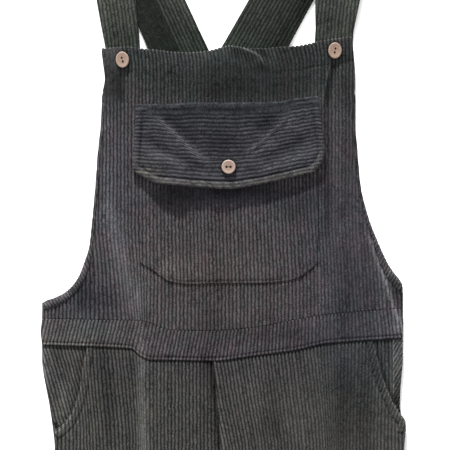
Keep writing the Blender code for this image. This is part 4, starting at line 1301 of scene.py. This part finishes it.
flap = {
    "ribs": 21,
    "body": 0.0018,
    "standsOff": 0.01,  # of its lower edge over the pocket, at the most
    "stitchIn": 0.0086,
    "puff": 0.0012,
    "sag": 0.0052,  # of the ribs between the two creases, towards the button
    "button": (0.0076, 0.214, 0.0084, 0.0084),  # its middle, and half its width and height
    "wornCorner": Patch(-0.09, 0.206, 0.018, 0.012, 1),
    "left": metres(((-101.5, 288), (-101.3, 280), (-101.5, 268), (-103, 243), (-105, 221), (-104.5, 211.5))),
    "leftCorner": metres(((-104.5, 211.5), (-99, 206), (-92, 201.8), (-78, 194.8))),
    "right": metres(((113, 295.5), (114, 284), (115.5, 274), (118.5, 250), (120.5, 232), (119.5, 225.2))),
    "rightCorner": metres(((119.5, 225.2), (115, 216.5), (106, 208), (93, 204.2))),
}
flapTopAt = curveOf(metres((
    (-110, 287.2), (-101, 287.7), (-63, 288), (-44, 288.8), (-36, 289.8), (5, 289.6), (40, 290), (58, 290.5),
    (70, 291.2), (82, 294), (98, 295.6), (110, 297.5), (114, 296.2), (122, 294),
)))
flapBottomAt = curveOf(metres((
    (-110, 198.5), (-78, 194.8), (-50, 191.8), (-15, 189), (7.6, 188), (33, 191.2), (68, 198.5), (93, 204.2),
    (122, 209.5),
)))
# The creases that run from the flap's upper corners towards its button
leftCrest = (
    (-86.6, 276.7), (-74.9, 270.3), (-65.5, 262.1), (-53.8, 251.6), (-39.8, 238.7), (-28.1, 228.2),
    (-16.4, 221.1), (-7, 216.5),
)
rightCrest = (
    (80.7, 284.3), (76.5, 272), (67.9, 263.3), (56.2, 252.7), (48, 244.5), (32.8, 234), (19.9, 223.5),
)
leftCrestAt, rightCrestAt = curveOf(metres(leftCrest)), curveOf(metres(rightCrest))
flapFolds = creaseRows(
    (leftCrest, 3, 7.5, 1.5, 0), (leftCrest, 2, 8, 0.2, 0.44), (rightCrest, 3, 7, 1.3, 0),
    (rightCrest, 9, 2.6, 0.2, 0.4), (((-74, 278), (-60, 265), (-42, 250), (-26, 236)), 8, 4, -0.9, -0.26),
    (((64, 276), (54, 265), (42, 253)), 6, 6, -0.7, -0.18),
    (((-96, 252), (-70, 236), (-40, 220), (-12, 207)), 5, 6, -0.7, -0.26),
    (((-90, 233), (-60, 222), (-34, 209)), 5, 6, 0.7, 0.26),
    (((115, 233), (80, 220), (40, 207)), 5, 5.5, 0.8, 0.24),
    (((105, 252), (74, 235), (44, 221)), 6, 5, -0.8, -0.3),
    (((-30, 280.5), (10, 279), (48, 279)), 3, 3.6, -0.9, -0.3),
    (((42, 284), (70, 286.5), (86, 290), (106, 291.5)), 1.6, 1.8, -0.6, -0.4),
    (((-98, 283.5), (-60, 282), (-25, 281.5)), 1.8, 1.6, -0.6, -0.36),
)
# Painted light and shade on the flap, patch by patch
flapPaintedLight = tableOf(Patch,
    (5, 272, 55, 16, -0.16), (-45, 262, 30, 18, -0.12), (-6, 249, 32, 14, -0.28), (2, 234, 22, 10, -0.22),
    (-70, 213, 18, 10, -0.2), (-18, 208, 12, 8, 0.16), (-44, 280, 18, 9, -0.26), (52, 262, 14, 12, -0.26),
    (82, 259, 14, 9, 0.16), (85, 250, 16, 10, -0.06), (-80, 232, 26, 20, 0.08), (60, 222, 40, 14, 0.06),
    lengths=4,
)


def flapSag(x, y):
    # Between the creases the cloth is drawn down towards the button
    fromLeft = smoothStep(-0.0035, 0.0045, (y - leftCrestAt(x)) * 0.78) * smoothStep(-0.095, -0.08, x)
    fromRight = smoothStep(-0.0035, 0.0045, (y - rightCrestAt(x)) * 0.78) * smoothStep(0.09, 0.078, x)
    return flap["sag"] * fromLeft * fromRight * smoothStep(0, 0.011, flapTopAt(x) - y)


def makeFlap():
    topX = np.linspace(flap["left"][0][0], flap["right"][0][0], 90)
    bottomX = np.linspace(flap["rightCorner"][-1][0], flap["leftCorner"][-1][0], 70)
    bottom, top = withHeights(bottomX, flapBottomAt), withHeights(topX, flapTopAt)
    sides = []
    for name, near, far in (("right", top[-1], bottom[0]), ("left", top[0], bottom[-1])):
        side = softLine([tuple(near), *flap[name][1:]])
        corner = softLine([*flap[f"{name}Corner"][:-1], tuple(far)])
        sides.append(np.concatenate([side[:-1], corner]))
    table = closeLine(top, sides[0], bottom, sides[1][::-1])
    fromEdge = distanceFrom(table)
    high = flap["ribs"] * cord["wale"]

    def place(across, along):
        # The ribs run across the garment, spread between the flap's two long edges
        share = across / high
        x = along
        y = flapBottomAt(x) + (flapTopAt(x) - flapBottomAt(x)) * share
        inner = np.sin(np.pi * np.clip(share, 0, 1))
        wave = 0.0005 * np.sin(x * 95 + share * 4) + 0.0003 * np.sin(x * 210 + share * 9)
        gathers = 0.0008 * np.sin(x * 620) * smoothStep(0.08, 0.092, x) * smoothStep(0.55, 0.9, share)
        return x, y + (wave + gathers) * inner - flapSag(x, y)

    def toFlap(points):
        points = np.asarray(points, float)
        along = points[:, 0].copy()
        across = (points[:, 1] - flapBottomAt(along)) / (flapTopAt(along) - flapBottomAt(along)) * high
        for _ in range(30):
            x, y = place(across, along)
            across += 0.8 * (points[:, 1] - y)
        return np.stack([across, along], 1)

    def pressed(x, fromTop):
        # Its top is folded and pressed, so the first ribs hardly show
        share = 0.7 + 0.3 * smoothStep(-0.055, -0.04, x)
        return share * smoothStep(0.0124, 0.0104, fromTop) * smoothStep(0.0014, 0.0034, fromTop)

    def flatten(across, along):
        x, y = place(across, along)
        return 1 - 0.7 * pressed(x, flapTopAt(x) - y)

    def under(x, y):
        top, bottom = flapTopAt(x), flapBottomAt(x)
        down = np.clip((top - y) / (top - bottom), 0, 1)
        onPocket = (cord["body"] + cord["ribHeight"] + lieOn) * smoothStep(0.002, 0.01, top - y)
        uneven = through(
            (-0.11, -0.094, -0.08, -0.067, -0.057, -0.049, -0.042, -0.02, 0.0, 0.01, 0.024, 0.04, 0.06, 0.12),
            (0.03, 0.18, 0.48, 0.8, 0.92, 0.86, 0.58, 0.54, 0.58, 0.48, 0.38, 0.4, 0.36, 0.1), x,
        )
        edge = fromEdge(x, y)
        trim = smoothStep(0.004, 0.01, top - y)
        puff = flap["puff"] * np.sin(np.pi * np.clip(edge / flap["stitchIn"], 0, 1)) * (0.25 + 0.75 * trim)
        stitched = 0.0009 * lineAt(edge, flap["stitchIn"], stitch["dent"]) * trim
        lying = onFront(x, y) + lieOn + onPocket + creaseHeight(flapFolds, x, y)
        return lying + flap["standsOff"] * down**2.2 * uneven + puff - stitched

    def look(x, y, across, along):
        tone, rubbed = creaseLightAndShade(flapFolds, x, y)
        tone += patchTone(flapPaintedLight, x, y)
        edge = fromEdge(x, y)
        fromTop, fromBottom = flapTopAt(x) - y, y - flapBottomAt(x)
        onLeft = smoothStep(-0.042, -0.055, x)
        # Along its top: a painted highlight on the edge facing the lamp, darker where it is pressed, a lighter
        # line on the left and a dark line below
        tone += (0.22 + 0.2 * onLeft) * smoothStep(0.0019, 0.0007, fromTop) - 0.32 * pressed(x, fromTop)
        tone += 0.42 * onLeft * lineAt(fromTop, 0.0043, 0.001)
        tone -= 0.4 * lineAt(fromTop, 0.01 - 0.0022 * onLeft, 0.0016)
        below = smoothStep(0.01, 0.014, fromTop)
        tone -= 0.26 * lineAt(edge, flap["stitchIn"], 0.001) * below
        tone += 0.08 * smoothStep(0.0075, 0.002, edge) * below
        low = smoothStep(0.042, 0.02, fromBottom)
        worn = smoothStep(0.009, 0.006, edge) * low
        corner = spotAt(x, y, flap["wornCorner"])
        tone -= buttonShade(x, y, *flap["button"])
        rubbed = np.maximum(rubbed, 0.35 * low * smoothStep(0.008, 0.004, edge))
        return tone, np.maximum(rubbed, 0.85 * pressed(x, fromTop)), np.maximum(0.62 * worn, 0.8 * corner)

    runs = ((-0.1075, -0.088, 0.0012), (-0.087, 0.079, 0.0022), (0.08, 0.1225, 0.0012))
    rows = np.concatenate([np.arange(*run) for run in runs])
    style = {"body": flap["body"], "edgeRoll": 0.0016, "relief": 0.62, "flatten": flatten}
    mesh = clothMesh("flap_panel", toFlap(table), rows, standing(place, under), look, style)
    rests = ["bib_panel", "pocket_panel"]
    addPiece(mesh, cords["flapCord"], "pocket_flap", (0.226, 0.108), rests, held="folded")
    return under


flapUnder = makeFlap()

buttons = {
    "thick": 0.003,
    "dish": 0.0004,
    "rimRound": 0.001,
    "holeRadius": 0.0014,
    "holeSpacing": 0.0046,
    "light": (0.188, 0.124, 0.091),
    "dark": (0.125, 0.072, 0.049),
    "tint": (0.166, 0.111, 0.073),
    "rim": (0.225, 0.165, 0.138),
    "thread": (0.022, 0.013, 0.01),
    "bore": (0.02, 0.012, 0.009),
    "threadRadius": 0.00028,
}
# The middle, the width and the height; in degrees, how far the button is turned, which way its two holes
# stand and how far it leans; and how much paler its rim is
ButtonSpot = namedtuple("ButtonSpot", "name node x y width tall turn holes lean worn")
buttonSpots = (
    ButtonSpot("left_button", "button_bib_left", -0.1164, 0.3395, 0.0155, 0.0189, 5, 104, -5, 0.45),
    ButtonSpot("right_button", "button_bib_right", 0.132, 0.3502, 0.0157, 0.0189, -5, 83, 4, 0.2),
    ButtonSpot("flap_button", "button_flap", 0.0076, 0.214, 0.0163, 0.0163, 0, 0, 0, 0.9),
)


def makeWood():
    material, tree, shader = newMaterial("buttonWood", {"Roughness": 0.55})
    place = node(tree, "ShaderNodeTexCoord").outputs["Object"]
    grainPlace = node(tree, "ShaderNodeMapping", {"Vector": place, "Scale": (900, 220, 900)}).outputs[0]
    grain, blotch = noiseAt(tree, grainPlace, 1, 3), noiseAt(tree, place, 140, 2)
    rim = node(tree, "ShaderNodeAttribute", attribute_name="rim").outputs["Fac"]
    shares = remap(tree, grain, 0.35, 0.68, 0, 1), remap(tree, blotch, 0.42, 0.64, 0, 0.7), rim
    colour = (*buttons["light"], 1)
    for share, name in zip(shares, ("dark", "tint", "rim")):
        colour = mixColour(tree, share, colour, (*buttons[name], 1))
    bump = node(tree, "ShaderNodeBump", {"Strength": 0.2, "Distance": 0.0002, "Height": grain})
    feed(tree, shader, {"Base Color": colour, "Normal": bump.outputs[0]})
    return material


buttonWood = makeWood()
# The holes' bores are painted dark, a painted shade inside the holes
buttonThread, buttonBore = (
    newMaterial(name, {"Base Color": (*buttons[tint], 1), "Roughness": 0.9})[0]
    for name, tint in (("buttonThread", "thread"), ("buttonBore", "bore"))
)


def turnedDisc(radius):
    # A button's round body: flat beneath, its rim rounded, and its face a little hollow
    thick, rim, dish = buttons["thick"], buttons["rimRound"], buttons["dish"]
    turns, straight = [math.radians(22.5 * step) for step in range(5)], radius - rim
    profile = [(0.0, 0.0), (straight, 0.0)]
    profile += [(straight + rim * math.sin(turn), rim - rim * math.cos(turn)) for turn in turns[1:]]
    profile += [(straight + rim * math.cos(turn), thick - rim + rim * math.sin(turn)) for turn in turns]
    profile += [(radius * 0.74, thick - dish * 0.5), (radius * 0.6, thick - dish), (0.0, thick - dish)]
    bm = bmesh.new()
    verts = [bm.verts.new((r, 0, z)) for r, z in profile]
    edges = [bm.edges.new(pair) for pair in zip(verts, verts[1:])]
    bmesh.ops.spin(
        bm, geom=verts + edges, cent=(0, 0, 0), axis=(0, 0, 1), angle=math.tau, steps=64, use_merge=True
    )
    bmesh.ops.remove_doubles(bm, verts=bm.verts, dist=0.00001)
    bmesh.ops.recalc_face_normals(bm, faces=bm.faces)
    return bm


def makeButton(spot, surface):
    button = addObject(spot.name, meshFrom(turnedDisc(spot.tall / 2), spot.name))
    button.data.materials.append(buttonWood)
    turn = math.radians(spot.holes)
    toHole = Vector((math.cos(turn), math.sin(turn), 0)) * buttons["holeSpacing"] / 2
    radius, pins = buttons["holeRadius"], []
    for end in (-toHole, toHole):
        bm = bmesh.new()
        bmesh.ops.create_cone(
            bm, cap_ends=True, segments=24, radius1=radius, radius2=radius, depth=0.02,
            matrix=Matrix.Translation(end),
        )
        pins.append(addObject("pin", meshFrom(bm, "pin")))
        pins[-1].data.shade_flat()
        pins[-1].data.materials.append(buttonBore)
        hole = button.modifiers.new("hole", "BOOLEAN")
        hole.object, hole.operation, hole.solver = pins[-1], "DIFFERENCE", "EXACT"
        hole.material_mode = "TRANSFER"
    pierced = bpy.data.meshes.new_from_object(button.evaluated_get(bpy.context.evaluated_depsgraph_get()))
    button.modifiers.clear()
    pierced.set_sharp_from_angle(angle=math.radians(28))
    radii = np.array([vertex.co.xy.length for vertex in pierced.vertices]) / (spot.tall / 2)
    paled = spot.worn * smoothStep(0.45, 0.8, radii)
    pierced.attributes.new("rim", "FLOAT", "POINT").data.foreach_set("value", paled.astype(np.float32))
    button.data = pierced
    for pin in pins:
        bpy.data.meshes.remove(pin.data)

    # The thread goes from hole to hole, over the face and down through the cloth
    bar = bmesh.new()
    bmesh.ops.create_uvsphere(bar, u_segments=16, v_segments=8, radius=buttons["threadRadius"])
    long = (buttons["holeSpacing"] / 2 + 0.0002) / buttons["threadRadius"]
    bmesh.ops.scale(bar, vec=(long, 1, 1), verts=bar.verts)
    bmesh.ops.rotate(bar, matrix=Matrix.Rotation(turn, 3, "Z"), verts=bar.verts)
    bmesh.ops.translate(bar, vec=(0, 0, buttons["thick"] - buttons["dish"] - 0.00005), verts=bar.verts)
    for end in (-toHole, toHole):
        bmesh.ops.create_cone(
            bar, cap_ends=True, segments=12, radius1=0.0005, radius2=0.0005, depth=0.003,
            matrix=Matrix.Translation(end + Vector((0, 0, 0.0006))),
        )
    thread = addObject(f"{spot.name}_thread", meshFrom(bar, f"{spot.name}_thread"))
    thread.data.materials.append(buttonThread)

    around = np.linspace(0, math.tau, 16, endpoint=False)
    rimX, rimY = spot.x + spot.width / 2 * np.cos(around), spot.y + spot.tall / 2 * np.sin(around)
    height = float(surface(rimX, rimY).max()) + 0.0001
    lay = (
        Matrix.Translation((spot.x, spot.y, height))
        @ Matrix.Rotation(math.radians(spot.lean), 4, "Y")
        @ Matrix.Rotation(math.radians(spot.turn), 4, "Z")
        @ Matrix.Diagonal((spot.width / spot.tall, 1, 1, 1))
    )
    for part in (button, thread):
        part.data.transform(lay)
        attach(part, "root")
    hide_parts(spot.node)
    print(f"overalls: {spot.name} sewn on")


def flapFace(x, y):
    return flapUnder(x, y) + flap["body"] + 0.6 * cord["ribHeight"]


for buttonSpot in buttonSpots:
    makeButton(buttonSpot, flapFace if buttonSpot.name == "flap_button" else onFront)

# The straps, from the end under the bib, over the shoulder fold and down the back.
# z is the middle of the strap, and slant the way that its width points, in degrees.
Strap = namedtuple("Strap", "x y z width slant")
leftFront = tableOf(Strap,
    (-115, 300, 1.5, 40, 4), (-116.5, 353, 1.5, 40.5, 6), (-119.5, 378, 4.2, 43, 7),
    (-123.5, 407, 4.4, 45.5, 7.5), (-130.5, 460, 4.4, 50, 8), (-138.5, 520, 4.8, 55, 11),
    (-142, 543, 6.2, 57.5, 14), (-143.6, 554, 6.4, 58, 16),
    lengths=4,
)
leftBack = tableOf(Strap,
    (-143.6, 554, 1.2, 58, 16), (-132, 530, 1.2, 60, 20), (-73, 400, 1.2, 63, 24.5),
    (-40, 327, 1.2, 65, 24.5), (-12, 265, 1.2, 66, 24.5), (17, 200, 1.2, 67, 24.5), (46, 136, 1.2, 68, 24),
    (55, 116, 3.2, 68, 24), (70, 82, 3.4, 68, 24),
    lengths=4,
)
rightFront = tableOf(Strap,
    (128.5, 305, 1.5, 44, -4), (131.8, 372, 1.5, 45, -5), (134, 398, 4.4, 50, -5.5),
    (136, 415, 4.4, 52.6, -6), (140.5, 460, 4.4, 55, -7), (146, 520, 4.8, 58, -11),
    (148.3, 542, 6.2, 60, -14), (149.3, 552, 6.4, 60, -17),
    lengths=4,
)
rightBack = tableOf(Strap,
    (149.3, 552, 1.2, 60, -17), (137, 530, 1.2, 64, -22), (64, 400, 1.2, 67, -29.5),
    (44, 364, 1.3, 68, -29.5), (27, 334, 4.2, 68.5, -29.5), (-12, 265, 4.2, 69, -29.5),
    (-50, 196, 4.2, 69, -28.5), (-65, 167, 1.3, 69, -28), (-82, 133, 1.2, 69, -27),
    (-90.5, 115, 3.2, 69, -26), (-106, 82, 3.4, 69, -25),
    lengths=4,
)
strapStyle = {
    "body": 0.0012, "edgeRoll": 0.0012, "relief": 0.62,
    "half": 0.0012,  # of its thickness
    "turnSteps": 8,  # of the shoulder fold
    "backTone": 0.28,
}


def shoulderTurn(front, back):
    slant = math.radians(front.slant)
    radius = (front.z - back.z) / 2
    sections = []
    for step in range(1, strapStyle["turnSteps"]):
        turn = math.pi * step / strapStyle["turnSteps"]
        reach = radius * math.sin(turn)
        x, y = front.x - reach * math.sin(slant), front.y + reach * math.cos(slant)
        sections.append(Strap(x, y, back.z + radius * (1 + math.cos(turn)), front.width, front.slant))
    return sections


def makeStrap(side, front, back, smoothHalf):
    sections = [*front, *shoulderTurn(front[-1], back[0]), *back]
    table = np.array(sections, float)
    run = np.concatenate([[0], np.cumsum(np.linalg.norm(np.diff(table[:, :3], axis=0), axis=1))])
    total, shoulder = run[-1], run[len(front) - 1 + strapStyle["turnSteps"] // 2]

    def column(index, at):
        return through(run, table[:, index], at)

    def middleAt(at):
        return np.stack([column(index, np.clip(at, 0, total)) for index in range(3)], 1)

    def place(across, along, height):
        centre = middleAt(along)
        forward = middleAt(along + 0.0008) - middleAt(along - 0.0008)
        forward /= np.linalg.norm(forward, axis=1, keepdims=True)
        slant = np.radians(column(4, along))
        sideways = np.stack([np.cos(slant), np.sin(slant), np.zeros_like(slant)], 1)
        outward = np.cross(sideways, forward)
        outward /= np.linalg.norm(outward, axis=1, keepdims=True)
        return centre + sideways * across[:, None] + outward * (height - strapStyle["half"] + 0.0006)[:, None]

    at = np.linspace(0.0, total, 220)
    half = column(3, at) / 2
    outline = closeLine(
        np.stack([-half, at], 1), np.linspace((-half[-1], total), (half[-1], total), 24),
        np.stack([half[::-1], at[::-1]], 1), np.linspace((half[0], 0), (-half[0], 0), 16),
    )
    turnFrom, turnTo = run[len(front) - 1] - 0.002, run[len(front) - 1 + strapStyle["turnSteps"]] + 0.002
    step = cord["rowStep"]
    runs = ((-0.003, turnFrom, step), (turnFrom, turnTo, 0.0009), (turnTo, total + 0.008, step))
    rows = np.concatenate([np.arange(*run) for run in runs])

    def backShare(along):
        return smoothStep(shoulder - 0.02, shoulder + 0.02, along)

    def look(x, y, across, along):
        edge = column(3, along) / 2 - np.abs(across)
        onBack = backShare(along)
        # Its back is in painted shade, and its edges are painted darker
        tone = -0.1 * smoothStep(0.005, 0, edge) - strapStyle["backTone"] * onBack
        # A painted highlight where it turns over the shoulder
        tone += 0.1 * lineAt(along, shoulder, 0.006)
        rubbed = 0
        if smoothHalf:
            # The inner half of this strap's underside is painted dark and plain, a painted shade, with its ribs
            # smoothed; elsewhere it is painted lighter or darker for how the light falls
            plain = onBack * smoothStep(0.002, -0.004, across)
            tone += 0.06 * (1 - onBack) - 0.86 * plain - 0.16 * onBack * smoothStep(0.41, 0.37, y)
            tone += 0.3 * onBack * smoothStep(0.01, 0.028, across) * smoothStep(0.36, 0.4, y)
            tone += 0.12 * (1 - onBack) * (smoothStep(0, -0.02, across) - smoothStep(0, 0.02, across))
            rubbed = 0.95 * plain
        else:
            # On this strap the back is in painted shade, deepest to the right, with the painted shadow between
            # the straps at the top
            tone -= onBack * (0.1 + 0.42 * smoothStep(-0.008, 0.026, across))
            tone -= 0.45 * onBack * smoothStep(0.02, 0.03, across) * smoothStep(0.378, 0.395, y)
        return tone, rubbed, 0

    def flatten(across, along):
        if not smoothHalf:
            return np.ones_like(across)
        return 1 - 0.8 * backShare(along) * smoothStep(0.002, -0.004, across)

    style = {key: strapStyle[key] for key in ("body", "relief", "edgeRoll")}
    style |= {"ribsBelow": True, "flatten": flatten}
    mesh = clothMesh(f"strap_{side}_cloth", outline, rows, place, look, style)
    cut = (0.066, round(float(total), 3))
    addPiece(mesh, cords["strapCord"], f"strap_{side}", cut, ["back_waist"], held="folded")


makeStrap("left", leftFront, leftBack, True)
makeStrap("right", rightFront, rightBack, False)

backCreases = creaseRows(
    (((-10, -240), (-54, -292), (-110, -330)), 8, 6, 1.3, 0.12),
    (((12, -245), (56, -305), (115, -350)), 6, 8, 1.3, 0.12),
    (((-20, -275), (-76, -358), (-150, -420)), 8, 10, 1, 0.1),
    (((24, -280), (80, -371), (156, -440)), 9, 8, 1, 0.1),
    (((-190, -40), (-176, -135), (-150, -230)), 8, 8, 1.1, 0.1),
    (((195, -50), (183, -145), (158, -240)), 8, 9, 1.1, 0.1),
    (((-205, -500), (-148, -518), (-90, -545)), 6, 8, 1.2, 0.1),
    (((58, -510), (109, -526), (160, -552)), 7, 7, 1.2, 0.1),
    (((-140, -650), (-141, -775), (-130, -900)), 10, 9, 1, 0.1),
    (((148, -640), (148, -775), (136, -910)), 9, 10, 1, 0.1),
    (((-110, 60), (-99, -10), (-95, -80)), 8, 8, 1, 0.08), (((90, 70), (82, 0), (80, -70)), 8, 8, 1, 0.08),
)
backWaistTop = curveOf(metres(
    ((-211, 54.5), (-150, 82), (-110, 100), (100, 108), (160, 94), (212, 73.5)),
))
back = {"body": 0.0009, "turnUp": 0.0016, "edgeRoll": 0.0007, "lapRise": 0.002}


def noLean(across, along):
    return np.zeros_like(across)


def backSpots(place, leftOf, rightOf, lapAt=None):
    # The outside of the back is underneath, so its ribs point down to the table
    def spots(across, along, height):
        x, y = place(across, along)
        lapped = back["lapRise"] * lapAt(x, y) if lapAt else 0
        inward = np.maximum(np.minimum(x - leftOf(y), rightOf(y) - x), 0)
        turned = back["turnUp"] * (1 - roundedIn(inward))
        crease = creaseHeight(backCreases, x, y) * smoothStep(0.004, 0.02, inward)
        topSide = back["body"] + cord["ribHeight"]
        return np.stack([x, y, np.maximum(topSide - height, 0) + turned + crease + lapped], 1)

    return spots


# Painted light and shade along the back's creases
def backLook(x, y, across, along):
    return *creaseLightAndShade(backCreases, x, y), 0


def makeBackWaist():
    left, right = -0.211, 0.212
    topX = np.linspace(left, right, 120)
    top = withHeights(topX, backWaistTop)
    seam = np.linspace((right, backSeamY + seamGap / 2), (left, backSeamY + seamGap / 2), 60)
    outline = closeLine(top, np.linspace(top[-1], seam[0], 12), seam, np.linspace(seam[-1], top[0], 12))
    place = verticalSheet(backSeamY, 0.09, noLean, highAt=backWaistTop)
    rows = rowsBetween(backSeamY - 0.004, 0.096, 0.0075, fine=(backSeamY + 0.003, 0.087))
    spots = backSpots(place, level(left), level(right))
    style = {"edgeRoll": back["edgeRoll"]}
    mesh = clothMesh("back_panel", toSheet(outline, place), rows, spots, backLook, style)
    addPiece(mesh, cords["legCord"], "back_waist", (0.425, 0.12), ["floor"])


def makeBackLeg(side):
    outline = legOutline(side, level(backSeamY - seamGap / 2), mouth=False)
    place = verticalSheet(hemY, 0, noLean)
    rows = rowsBetween(hemY - 0.004, 0.004, 0.0105, fine=(hemY + hemStitchIn, backSeamY - 0.003))
    outer, inner = columnOf(legTable, f"{side}Outer"), columnOf(legTable, f"{side}Inner")

    def innerBelowCrotch(y):
        # Above the crotch the two legs meet, so only the inseam turns up
        away = 0.05 * smoothStep(crotchY - 0.03, crotchY, y)
        return inner(y) + (away if side == "left" else -away)

    def lapAt(x, y):
        return lineAt(x, inner(y), 0.005) * smoothStep(crotchY, crotchY + 0.03, y)

    if side == "left":
        spots = backSpots(place, outer, innerBelowCrotch, lapAt)
    else:
        spots = backSpots(place, innerBelowCrotch, outer)
    style = {"edgeRoll": back["edgeRoll"]}
    mesh = clothMesh(f"back_leg_{side}_panel", toSheet(outline, place), rows, spots, backLook, style)
    addPiece(mesh, cords["legCord"], f"back_leg_{side}", (0.24, 0.93), ["floor"], area=0.195)


floorSize = 6.0


def makeFloor():
    bm = bmesh.new()
    bmesh.ops.create_grid(bm, x_segments=1, y_segments=1, size=floorSize / 2)
    floor = addObject("floor", meshFrom(bm, "floor"))
    floor.data.shade_flat()
    inputs = {"Base Color": (0.98, 0.98, 0.98, 1), "Roughness": 0.9, "Specular IOR Level": 0.1}
    floor.data.materials.append(newMaterial("paleTable", inputs)[0])


makeFloor()
makeBackWaist()
makeBackLeg("left")
makeBackLeg("right")

studio = {
    "frameCentre": (0.0035, 0.1462),
    "frameWidth": 0.5265,
    "cameraHeight": 2.4,
    "garmentTop": 0.008,
    "lampHeight": 17.0,  # degrees above the table, from beyond the straps
    "lampSide": 8.0,
    "lampStrength": 12.0,
    "lampSpread": 3.0,
    "skyStrength": 1.12,
}


def makeStudio():
    scene = bpy.context.scene
    camera = addObject("camera", bpy.data.cameras.new("camera"))
    camera.location = (*studio["frameCentre"], studio["cameraHeight"])
    camera.data.sensor_width = 36.0
    camera.data.lens = 36.0 * (studio["cameraHeight"] - studio["garmentTop"]) / studio["frameWidth"]
    scene.camera = camera
    lamp = addObject("farLamp", bpy.data.lights.new("farLamp", "SUN"))
    lamp.data.energy, lamp.data.angle = studio["lampStrength"], math.radians(studio["lampSpread"])
    lamp.rotation_euler = (math.radians(studio["lampHeight"] - 90), 0, math.radians(studio["lampSide"]))
    world = bpy.data.worlds.new("studio")
    scene.world = world
    world.use_nodes = True
    backdrop = {"Color": (1, 1, 1, 1), "Strength": studio["skyStrength"]}
    feed(world.node_tree, world.node_tree.nodes["Background"], backdrop)
    scene.view_settings.view_transform = "Standard"


makeStudio()
print("overalls: studio set")
